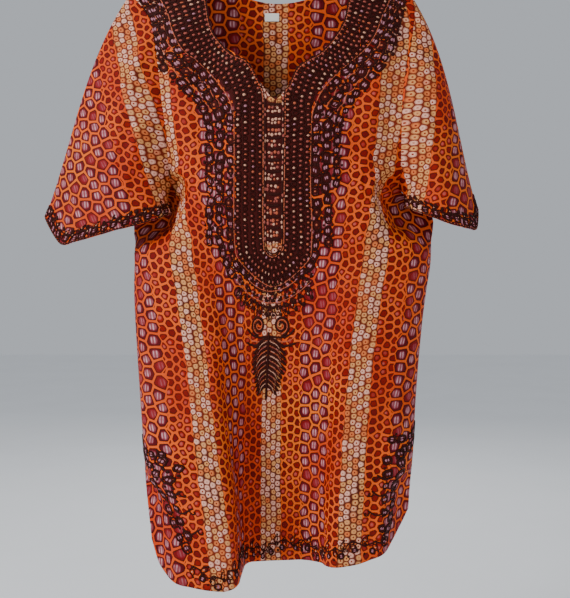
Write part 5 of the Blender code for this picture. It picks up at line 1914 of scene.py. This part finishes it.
@dataclass
class NeckWork:
    """The embroidered band round the neck and slit, with the feather below it (mm).

    Attributes:
        stitching: What the thread is added to.
        rows: Rows of small loops in the dense band.
        straight_rows: Rows beside the slit, where the band is narrower.
        pitch: Step between small loops.
        loose_pitch: Step between large loops.
        slit: Top and foot of the strip over the slit.
        bar_pitch: Step between the bars across it.
        foot: Middle that the dashes below the slit stand round.
        barbs: Barbs down each side of the feather.
    """

    stitching: Stitching
    rows: int = 6
    straight_rows: int = 4
    pitch: float = 7.8
    loose_pitch: float = 15.5
    slit: tuple = (-316.0, -530.0)
    bar_pitch: float = 16.2
    foot: tuple = (1.0, -524.0)
    barbs: int = 11

    def contour(self, share: float, first: int = 0, last: int = 99, far: bool = False) -> list:
        """A line at a share of the way across a band.

        Args:
            share: 0 at the inner edge, 1 at the outer one.
            first: Where in the border to start.
            last: Where to stop.
            far: Whether it is the loose band.

        Returns:
            Places along the line.
        """
        return [tuple(np.add(start, share * np.subtract(stop, start)))
                for start, stop in ((p.outer, p.far) if far else (p.inner, p.outer)
                                    for p in BORDER[first:last])]

    def base(self) -> None:
        """Close satin stitch under the dense rows, in fine ridges."""
        inner_line, outer_line = self.contour(0.02), self.contour(0.985)
        t = np.linspace(0.0, len(BORDER) - 1.0, len(through(inner_line, 2.4)))
        fine = np.arange(0.0, len(BORDER) - 1.0 + 1e-6, 1.0 / 12.0)
        lines = []
        for line in (inner_line, outer_line):
            dense = finer(np.array(line), 12, 0)
            lines.append(np.stack([np.interp(t, fine, dense[:, k]) for k in range(2)], 1))
        self.stitching.patch(*lines)

    def dense_rows(self) -> None:
        """Rows of small loops that leave a dot of the print showing in each."""
        s = self.stitching
        heights = np.linspace(*self.slit, 40)
        s.patch([(-12.5, z) for z in heights],
                [(13.0 + (self.slit[0] - z) * 0.012, z) for z in heights])
        low, high = STRAIGHT
        for k in range(1, self.rows + 1):
            near, straight = (k - 0.42) / self.rows, (k - 0.42) / self.straight_rows
            runs, run = [], []
            for i, pair in enumerate(BORDER):
                beside = float(np.clip(min(i - (low - 3), (high + 3) - i) / 3.0, 0.0, 1.0))
                share = near + (straight - near) * beside
                if share < 0.98:
                    run.append(tuple(np.add(pair.inner,
                                            share * np.subtract(pair.outer, pair.inner))))
                elif run:
                    runs.append(run)
                    run = []
            runs.append(run)
            for run in (r for r in runs if len(r) > 2):
                path, aim = s.along(run, self.pitch)
                path = s.stray(path, 0.45)
                wide = 5.4 * (1.0 + 0.06 * s.chance.standard_normal(len(path)))
                s.rings(path, aim, 4.1, wide, 1.25, 1.3)
                for tone, own in s.dealt(len(path), ((0.0, 0.13, Tone.PALE),
                                                     (0.13, 0.72, Tone.ROSE),
                                                     (0.72, 0.78, Tone.LILAC),
                                                     (0.78, 0.93, Tone.TAN))):
                    s.knots(path[own], 1.55 + 0.45 * s.chance.random(own.sum()), 1.4, tone,
                            1.35, aside(aim)[own])

    def loose_rows(self) -> None:
        """Wider, darker loops outside the dense band, with cords between them."""
        s = self.stitching
        for share, size, first, last in ((0.17, 1.0, 0, 26), (0.52, 1.05, 0, 12),
                                         (0.52, 1.05, 14, 26), (0.86, 0.95, 0, 11),
                                         (0.86, 0.95, 15, 26)):
            path, aim = s.along(self.contour(share, first, last, True), self.loose_pitch)
            path = s.stray(path, 1.0)
            turn = s.chance.normal(0.0, 0.2, len(path))
            cos, sin = np.cos(turn), np.sin(turn)
            aim = np.stack([aim[:, 0] * cos - aim[:, 1] * sin,
                            aim[:, 0] * sin + aim[:, 1] * cos], 1)
            grow = size * (1.0 + 0.12 * s.chance.standard_normal(len(path)))
            s.knots(path, 5.9 * grow, 0.45, Tone.MAROON)
            s.rings(path, aim, 7.7 * grow, 6.7 * grow, 1.25, 1.1, 14)
            lilac = s.chance.random(len(path)) < 0.78
            for step in (-1.7, 1.5):
                streak = path + (aside(aim) * step + aim * s.chance.normal(0.0, 0.7,
                                                                           (len(path), 1)))
                s.knots(streak[lilac], 1.3 + 0.5 * s.chance.random(lilac.sum()), 1.1,
                        Tone.LILAC, 2.1, aim[lilac])
            s.knots(path[~lilac], 2.0, 1.1, Tone.TAN)
            between = 0.5 * (path[1:] + path[:-1])
            for step, most in ((-6.2, 0.8), (0.0, 0.5), (6.2, 0.8)):
                own = s.chance.random(len(between)) < most
                tufts = s.stray(between + aside(aim[:-1]) * step, 1.0)
                s.knots(tufts[own], 1.9 + 1.3 * s.chance.random(own.sum()), 1.3, Tone.DARK)
        for share, first, last in ((0.36, 0, 8), (0.36, 17, 26), (0.70, 0, 8), (0.70, 17, 26)):
            dense = through(self.contour(share, first, last, True), 5.0)
            sway = (1.6 * np.sin(np.arange(len(dense)) * 1.3))[:, None]
            s.cord(dense + aside(headings(dense)) * sway, 1.6, 0.9, Tone.TAN, 4.2)

    def edging(self) -> None:
        """Pale cords beside the band, and bars across the slit."""
        s = self.stitching
        for share in (0.045, 1.03):
            s.cord(self.contour(share), 1.7, 1.0, Tone.TAN, 4.0, 0.2)
        s.cord(self.contour(0.0), 1.6, 1.3, link=3.0)
        for places, pale in (((-13.2, -12.6, -12.6, -12.8), 0.42),
                             ((12.2, 13.4, 14.6, 15.6), 0.62)):
            line = list(zip(places, (-318, -380, -450, -520)))
            s.cord(line, 3.6, 1.3, link=5.0, lift=0.2)
            path, aim = s.along(line, 7.9)
            path = s.stray(path, 0.4)
            for shares in ((0.0, pale, Tone.PALE), (0.45, 0.86, Tone.ROSE)):
                for tone, own in s.dealt(len(path), [shares]):
                    s.knots(path[own], 1.65, 1.9, tone, 2.1, aim[own])
        top = self.slit[0] - 10.0
        for z in np.arange(top, self.slit[1], -self.bar_pitch):
            s.cord([(-10.5, z), (0.5, z - 1.2), (11.5 + (top - z) * 0.012, z)], 4.6, 1.3,
                   link=2.4)
            for row in (5.4, 10.8):
                spots = s.stray(np.array([(-7.4, z - row), (-2.4, z - row - 0.8),
                                          (2.6, z - row - 0.8), (7.6, z - row)]), 0.7)
                for tone, own in s.dealt(4, ((0.0, 0.42, Tone.PALE), (0.42, 0.68, Tone.ROSE),
                                             (0.68, 0.88, Tone.TAN))):
                    s.knots(spots[own], 1.8 + 1.0 * s.chance.random(own.sum()), 1.2, tone)
        s.cord([(-11, -532), (-7, -539), (1, -542), (9, -539), (13, -532)], 2.4, 1.3)

    def below(self) -> None:
        """Dashes, arcs, petals, curls and the feather under the band."""
        s = self.stitching
        centre = np.array(self.foot)
        for k in range(-7, 8):
            angle = math.radians(-90 + k * 9.0)
            aim = np.array((math.cos(angle), math.sin(angle)))
            start, stop, dot = (centre + aim * np.array(reach)
                                for reach in ((72.0, 68.0), (80.0, 77.0), (85.0, 82.0)))
            s.cord([start, 0.5 * (start + stop), stop], 4.6, 1.2, link=2.6)
            s.knots(dot[None], 1.8, 1.0, Tone.PALE if k % 2 else Tone.LILAC)
        for drop, half, rise in ((0.0, 44.0, 16.0), (-17.0, 70.0, 32.0)):
            arc = [(-2.0 + half * v, -596.0 + drop + rise * v * v)
                   for v in np.linspace(-1.0, 1.0, 9)]
            s.cord(arc, 1.6, 1.2, Tone.TAN, 4.2, 0.2)
            row = s.stray(through([(a, b + 7.0) for a, b in arc], 9.0), 0.8)
            s.knots(row, 3.2, 1.3, Tone.DARK)
            s.knots(0.5 * (row[1:] + row[:-1]), 1.8, 1.3, Tone.ROSE)
        for k in range(-5, 6):
            x = -3.0 + k * 12.4
            z = -616.0 + 0.0068 * (x + 3.0) ** 2
            long = 17.0 if k % 2 else 22.0
            s.leaf((x, z), math.radians(-90 + k * 8.0), long, 10.5)
            s.cord([(x, z), (x + k * 0.8, z - long * 0.4), (x + k * 1.6, z - long * 0.75)], 4.2,
                   1.4)
            s.knots(np.array([(x + k * 0.9, z - 9.0)]), 1.9, 1.4, Tone.PALE if k % 2 else Tone.TAN)
            s.knots(np.array([(x + 6.2, z - 4.0), (x + 6.2 + k, z - 15.0)]), 3.7, 1.2, Tone.DARK)
            s.knots(np.array([(x + 5.4, z + 6.0)]), 4.2, 1.2, Tone.DARK)
            s.knots(np.array([(x + 0.4, z + 4.0)]), 1.9, 1.4, Tone.LILAC if k % 2 else Tone.ROSE)
        s.cord([(-4.5, -606), (-5.0, -622), (-5.5, -640)], 3.2, 1.3, link=3.0)
        for out, x in ((-1, -27.0), (1, 18.0)):
            down = math.radians(-90)
            s.curl((x, -646.0), 15.0, 1.8, down, out, width=4.6)
            s.curl((x, -646.0), 12.2, 1.5, down, out, width=1.7, tone=Tone.TAN, lift=0.5)
            for steps, drops, looks in (
                    ((14, 25), (-662, -663.5, -660, -650), (3.8, 1.2)),
                    ((15, 26), (-667, -670, -668, -661), (1.7, 1.1, Tone.TAN, 4.2)),
                    ((16, 27), (-672, -676, -675, -671), (4.2, 1.2))):
                across = (-5.0, x, x + out * steps[0], x + out * steps[1])
                s.cord(list(zip(across, drops)), *looks)
        self.feather()

    def feather(self) -> None:
        """The feather: a spine with barbs sloping down and out, dark and pale by turns."""
        s = self.stitching
        s.cord([(-5.5, -655), (-6.5, -680), (-8.5, -710), (-11.5, -748)], 6.0, 2.0, link=3.0)
        for k in range(self.barbs):
            t = k / (self.barbs - 1)
            z, x = -664.0 - 70.0 * t, -6.0 - 5.0 * t
            reach = 31.0 + 5.0 * math.sin(math.pi * min(1.0, t * 1.6)) - 9.0 * t ** 3
            fall = reach * (0.50 + 0.22 * t)
            for side in (-1, 1):
                tip = (x + side * reach, z - fall)
                middle = (x + side * reach * 0.5, z - fall * 0.36)
                s.cord([(x, z), middle, tip], 5.9, 1.5, link=2.8)
                if k < self.barbs - 1:
                    low = 4.6
                    s.cord([(x + side * 4.5, z - low - 1.0), (middle[0], middle[1] - low),
                            (tip[0] - side * 9, tip[1] - 1.6)], 1.3, 1.9,
                           (Tone.PALE, Tone.ROSE, Tone.TAN)[k % 3], 5.0)
        s.cord([(-11.2, -740.0), (-11.6, -752.0), (-12.0, -758.0)], 6.0, 1.8, link=3.0)

    def inner_work(self) -> Stitching:
        """The dense band and the strip over the slit.

        Returns:
            The thread.
        """
        self.base()
        self.dense_rows()
        self.edging()
        return self.stitching

    def outer_work(self) -> Stitching:
        """The loose band, and all that hangs below it.

        Returns:
            The thread.
        """
        self.loose_rows()
        self.below()
        return self.stitching


@dataclass
class VineTrim:
    """Running work beside an edge, in dark thread."""

    stitching: Stitching
    pitch: float = 15.0

    def run(self, line: Sequence[tuple], size: float = 1.0) -> None:
        """A vine with pairs of leaves.

        Args:
            line: Where it runs.
            size: How large it is.
        """
        s = self.stitching
        path, aim = s.along(line, 2.5)
        wave = np.sin(np.arange(len(path)) * 2.5 * math.pi / self.pitch)
        s.cord(path + aside(aim) * (wave * 3.0 * size)[:, None], 2.3, 1.2, link=3.2)
        for k, (p, h) in enumerate(zip(*s.along(line, self.pitch))):
            flip = 1 if k % 2 else -1
            angle = math.atan2(h[1], h[0]) + flip * (0.95 + 0.15 * s.chance.standard_normal())
            s.leaf(tuple(p), angle, 11.0 * size, 6.4 * size)
            s.leaf(tuple(p), angle - flip * 1.6, 7.5 * size, 4.6 * size)
            off = np.array((math.cos(angle), math.sin(angle)))
            s.knots((p + off * 13.0 * size)[None], 1.9, 1.2, Tone.DARK)
            s.knots((p + off * 5.6 * size)[None], 1.3)

    def chain(self, line: Sequence[tuple], pitch: float, size: float) -> None:
        """A row of dark rings about pale streaks, with dark tufts here and there.

        Args:
            line: Where it runs.
            pitch: Step between the rings.
            size: Their half size.
        """
        s = self.stitching
        place, head = s.along(line, pitch)
        place = s.stray(place, 1.0)
        side = aside(head)
        grow = size * (1.0 + 0.12 * s.chance.standard_normal(len(place)))
        s.knots(place, grow * 0.72, 0.4, Tone.MAROON)
        s.rings(place, head, grow * 1.05, grow, 1.3, 1.2, 13)
        for step in (-0.26, 0.24):
            s.knots(place + side * step * size, 0.85 + 0.07 * size, 1.0, Tone.LILAC, 1.8, head)
        between = 0.5 * (place[1:] + place[:-1])
        for step in (-0.8, 0.8):
            own = s.chance.random(len(between)) < 0.45
            tufts = s.stray(between + side[:-1] * step * size, 1.2)
            s.knots(tufts[own], 1.7 + 0.9 * s.chance.random(own.sum()), 1.3, Tone.DARK)

    def edge(self, line: Sequence[tuple]) -> None:
        """A bound edge with tiny tan dots."""
        self.stitching.cord(line, 3.0, 1.4, link=2.6)
        self.stitching.knots(through(line, 5.2) + (0.0, 0.4), 0.9, 1.9, Tone.TAN)


# --- room
@dataclass(frozen=True)
class Room:
    """Pale floor, soft light and the camera.

    Attributes:
        eye: Place of the camera (m).
        lens: Its focal length (mm).
        shift: How far its picture is shifted up.
        floor_z: Height of the floor (m).
        daylight: Strength of the light from all round.
        lamps: Name, place (m), size (m) and power (W) of each light.
    """

    eye: tuple = (0.0235, -1.30, -0.558)
    lens: float = 52.1
    shift: float = -0.057
    floor_z: float = -1.42
    daylight: float = 0.80
    lamps: tuple = (("key", (-2.3, -1.7, 0.7), 1.1, 80.0),
                    ("fill", (1.9, -2.1, -0.2), 2.0, 15.0),
                    ("back", (0.2, 2.2, 0.9), 2.0, 26.0))

    def build(self) -> None:
        """Make the floor, the lights and the camera."""
        bpy.ops.object.select_all(action="DESELECT")
        bpy.ops.mesh.primitive_plane_add(size=14.0, location=(0.0, 0.0, self.floor_z))
        floor = bpy.context.active_object
        floor.name = "floor"
        floor.data.materials.append(Plain(rgb(247, 248, 249), 3.0, 0.0001).material("floor"))
        for lamp in self.lamps:
            self.light(*lamp)
        world = bpy.data.worlds.new("room")
        world.use_nodes = True
        world.node_tree.nodes["Background"].inputs["Color"].default_value = rgb(200, 205, 212)
        world.node_tree.nodes["Background"].inputs["Strength"].default_value = self.daylight
        bpy.context.scene.world = world
        data = bpy.data.cameras.new("camera")
        data.sensor_fit = "VERTICAL"
        data.sensor_width = data.sensor_height = 36.0
        data.lens = self.lens
        data.shift_y = self.shift
        camera = bpy.data.objects.new("camera", data)
        camera.location = self.eye
        camera.rotation_euler = (math.radians(90.0), 0.0, 0.0)
        bpy.context.scene.collection.objects.link(camera)
        bpy.context.scene.camera = camera

    @staticmethod
    def light(name: str, place: tuple, size: float, power: float) -> None:
        """A square soft light aimed at the middle of the shirt.

        Args:
            name: Its name.
            place: Where it is (m).
            size: Length of its sides (m).
            power: How strong it is (W).
        """
        data = bpy.data.lights.new(name, "AREA")
        data.size = size
        data.energy = power
        made = bpy.data.objects.new(name, data)
        made.location = place
        aim = Vector((0.0, 0.0, -0.55)) - Vector(place)
        made.rotation_euler = aim.to_track_quat("-Z", "Y").to_euler()
        bpy.context.scene.collection.objects.link(made)


# --- the shirt
LABEL_WIDTH = 21.5
LABEL_HEIGHT = 12.2
LABEL_F = -5.5
LABEL_TOP_Z = -169.0
BACK_PRINT_SHIFT = 613.0  # the back is cut from further along the print


class Shirt:
    """The whole shirt as shown."""

    def __init__(self) -> None:
        """Lay out the four cloths."""
        self.front = ClothPanel(Side.FRONT, FRONT_CREASES)
        self.back = ClothPanel(Side.BACK, BACK_CREASES)
        self.front.meet(self.back)
        self.left = ClothSleeve(-1, self.front, self.back, CUFF_LEFT, LEFT_SLEEVE_CREASES,
                                -130.5, -0.33)
        self.right = ClothSleeve(1, self.front, self.back, CUFF_RIGHT, RIGHT_SLEEVE_CREASES,
                                 175.1, 0.15)
        join_normals(self.front, self.back, (self.left, self.right))

    def build(self) -> None:
        """Make every cloth piece, its stitching and the label."""
        made = self.cloth()
        made.update(self.thread())
        for name, cloth_piece, rests, goes in (
                ("front_cloth", self.front, ["hanger_bar"],
                 [made["neck_band"], made["neck_outer_band"], made["front_trim"]]),
                ("back_cloth", self.back, ["hanger_bar"], [made["back_trim"]]),
                ("sleeve_left_cloth", self.left, ["hanger_bar"], [made["cuff_left_trim"]]),
                ("sleeve_right_cloth", self.right, ["hanger_bar"], [made["cuff_right_trim"]])):
            width, length, area = cloth_piece.cut()
            LOG.info("%s: cut %.3f x %.3f m, %.3f m2", name, width, length, area)
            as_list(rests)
            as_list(goes)
        label = self.label()
        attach(label, "root")
        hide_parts("neck_label")

    def cloth(self) -> dict:
        """Make the four cloths, in printed cotton, and hide the parts that they replace.

        Returns:
            The pieces by name.
        """
        cloth = Print().material("printed_cotton")
        made = {}
        for name, panel, shift in (("front_cloth", self.front, 0.0),
                                   ("back_cloth", self.back, BACK_PRINT_SHIFT)):
            flat = panel.printed() + np.array((0.0, shift))
            shape = wall(panel.points, panel.normals, flat, panel.thickness())
            if panel.side is Side.BACK:
                shape.faces = shape.faces[:, ::-1]
            made[name] = shape.build(name, [cloth])
        for name, sleeve in (("sleeve_left_cloth", self.left), ("sleeve_right_cloth", self.right)):
            made[name] = sleeve.build(name, [cloth])
        for name, node, slot in (("front_cloth", "front", "front_cloth"),
                                 ("back_cloth", "back", "back_cloth"),
                                 ("sleeve_left_cloth", "sleeve_left", "sleeve_cloth"),
                                 ("sleeve_right_cloth", "sleeve_right", "sleeve_cloth")):
            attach(made[name], "root")
            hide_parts(node)
        return made

    def thread(self) -> dict:
        """Make all the stitching.

        Returns:
            The pieces by name.
        """
        threads = [Thread(rgb(42, 7, 3), rgb(90, 26, 15), 0.12).material("dark_thread"),
                   Thread(rgb(206, 146, 118), rgb(244, 200, 172)).material("pale_thread"),
                   Thread(rgb(166, 102, 118), rgb(230, 182, 188)).material("lilac_thread"),
                   Thread(rgb(178, 80, 50), rgb(222, 134, 96)).material("tan_thread"),
                   Thread(rgb(58, 10, 8), rgb(96, 24, 14), 0.1).material("maroon_thread"),
                   Thread(rgb(150, 62, 52), rgb(220, 134, 114)).material("rose_thread")]
        lattice = self.front.lattice()
        made = {"neck_band": NeckWork(Stitching(lattice)).inner_work(),
                "neck_outer_band": NeckWork(Stitching(lattice)).outer_work(),
                "front_trim": self.body_trim(lattice, Side.FRONT),
                "back_trim": self.body_trim(self.back.lattice(), Side.BACK),
                "cuff_left_trim": self.cuff_trim(self.left),
                "cuff_right_trim": self.cuff_trim(self.right)}
        for name, work in made.items():
            made[name] = work.build(name, threads)
            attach(made[name], "root")
        return made

    @staticmethod
    def body_trim(lattice: Lattice, side: Side) -> Stitching:
        """The vine and rings along the hem and up beside both vents.

        Args:
            lattice: The surface to sew on.
            side: Which panel it is.

        Returns:
            The thread.
        """
        work = Stitching(lattice)
        vine = VineTrim(work)
        across = np.linspace(-208.0, 212.0, 29)
        low = pairs_at(HEM_FRONT if side is Side.FRONT else HEM_BACK, across)
        lift = 24.0 + 5.0 * np.sin(across / 21.0) + 3.0 * np.sin(across / 8.5)
        vine.run(list(zip(across, low + lift)))
        vine.chain(list(zip(across[1:-1], (low + lift)[1:-1] - 9.0)), 23.0, 4.6)
        for line in ([(-213, -962), (-224, -935), (-229, -905), (-222, -870), (-210, -840)],
                     [(216, -958), (228, -930), (231, -900), (228, -866), (222, -830)]):
            vine.chain(line, 17.5, 7.8)
            inner = [(a + (17 if a < 0 else -17), b - 8) for a, b in line]
            vine.chain(inner[1:], 19.0, 6.4)
        for sign, z in ((-1, -826.0), (1, -806.0)):
            vine.chain([(sign * 260, z + 10), (sign * 244, z), (sign * 228, z - 4),
                        (sign * 210, z - 4)], 13.0, 6.4)
            vine.chain([(sign * 258, z - 8), (sign * 243, z - 17), (sign * 228, z - 21)],
                       13.0, 6.0)
            for a, b in ((238, z - 60), (236, z - 84), (232, z - 112)):
                start = (sign * (a - 20), b)
                work.cord([start, (sign * (a - 32), b - 2), (sign * (a - 44), b + 5)], 3.0)
                work.curl((sign * (a - 46), b + 1), 5.0, 1.0, 1.2, -sign, width=2.2)
        if side is Side.BACK:
            bend = (1.0 - np.linspace(-1, 1, 15) ** 2) ** NECK_BACK_BEND
            for share in (6.0, 15.0):
                neck = zip(np.linspace(-98.0, 100.0, 15), -124.0 - share - NECK_BACK_DROP * bend)
                path, aim = work.along(list(neck), 7.0)
                work.rings(path, aim, 3.7, 4.6, 1.3, 1.3)
                work.knots(path, 1.5, 1.3, Tone.ROSE)
        return work

    @staticmethod
    def cuff_trim(sleeve: ClothSleeve) -> Stitching:
        """The vine, rings and bound edge round a cuff.

        Args:
            sleeve: The sleeve it belongs to.

        Returns:
            The thread.
        """
        lattice, length = sleeve.cuff_lattice()
        work = Stitching(lattice)
        vine = VineTrim(work, 13.0)
        around = np.arange(0.0, length + 1.0, 9.0)
        vine.edge(list(zip(around, np.full(len(around), 1.6))))
        vine.run(list(zip(around, 15.5 + 1.6 * np.sin(around / 11.0))), 0.7)
        vine.chain([(0.0, 8.6), (length * 0.5, 9.0), (length, 8.6)], 17.0, 6.4)
        path = through([(6.0, 20.5), (length * 0.5, 21.0), (length, 20.5)], 9.0)
        own = work.chance.random(len(path)) < 0.75
        path = work.stray(path, 1.6)
        work.knots(path[own], 2.8 + 1.2 * work.chance.random(own.sum()), 1.3, Tone.DARK)
        work.knots(path[~own], 1.8, 1.3, Tone.TAN)
        return work

    def label(self) -> bpy.types.Object:
        """The blank label inside the back of the neck.

        Returns:
            The piece.
        """
        across = np.linspace(LABEL_F - LABEL_WIDTH / 2, LABEL_F + LABEL_WIDTH / 2, 33)
        down = np.linspace(LABEL_TOP_Z - LABEL_HEIGHT, LABEL_TOP_Z, 19)
        f, z = np.meshgrid(across, down)
        lattice = self.back.lattice()
        normals = -unit(lattice.at(f, z, 1.0) - lattice.at(f, z, 0.0))
        bulge = np.sin(math.pi * (f - across[0]) / LABEL_WIDTH) * 0.5
        points = lattice.at(f, z, 0.0) + normals * (PANEL_WALL + 0.75 + bulge)[..., None]
        shape = wall(points, normals, np.stack([f, z], 2), np.full(f.shape, 0.45))
        return shape.build("label", [Plain(rgb(232, 228, 220), 900.0).material("label_tape")])


def main() -> None:
    """Build the scene."""
    logging.basicConfig(level=logging.INFO, format="%(name)s: %(message)s")
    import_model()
    bpy.ops.object.select_all(action="DESELECT")
    Shirt().build()
    for node, finish in (("hanger_bar", Wood()), ("hanger_hook", Wire())):
        part = bpy.data.objects[node]
        part.data.materials.clear()
        part.data.materials.append(finish.material(node + "_finish"))
    Room().build()


if __name__ == "__main__":
    main()
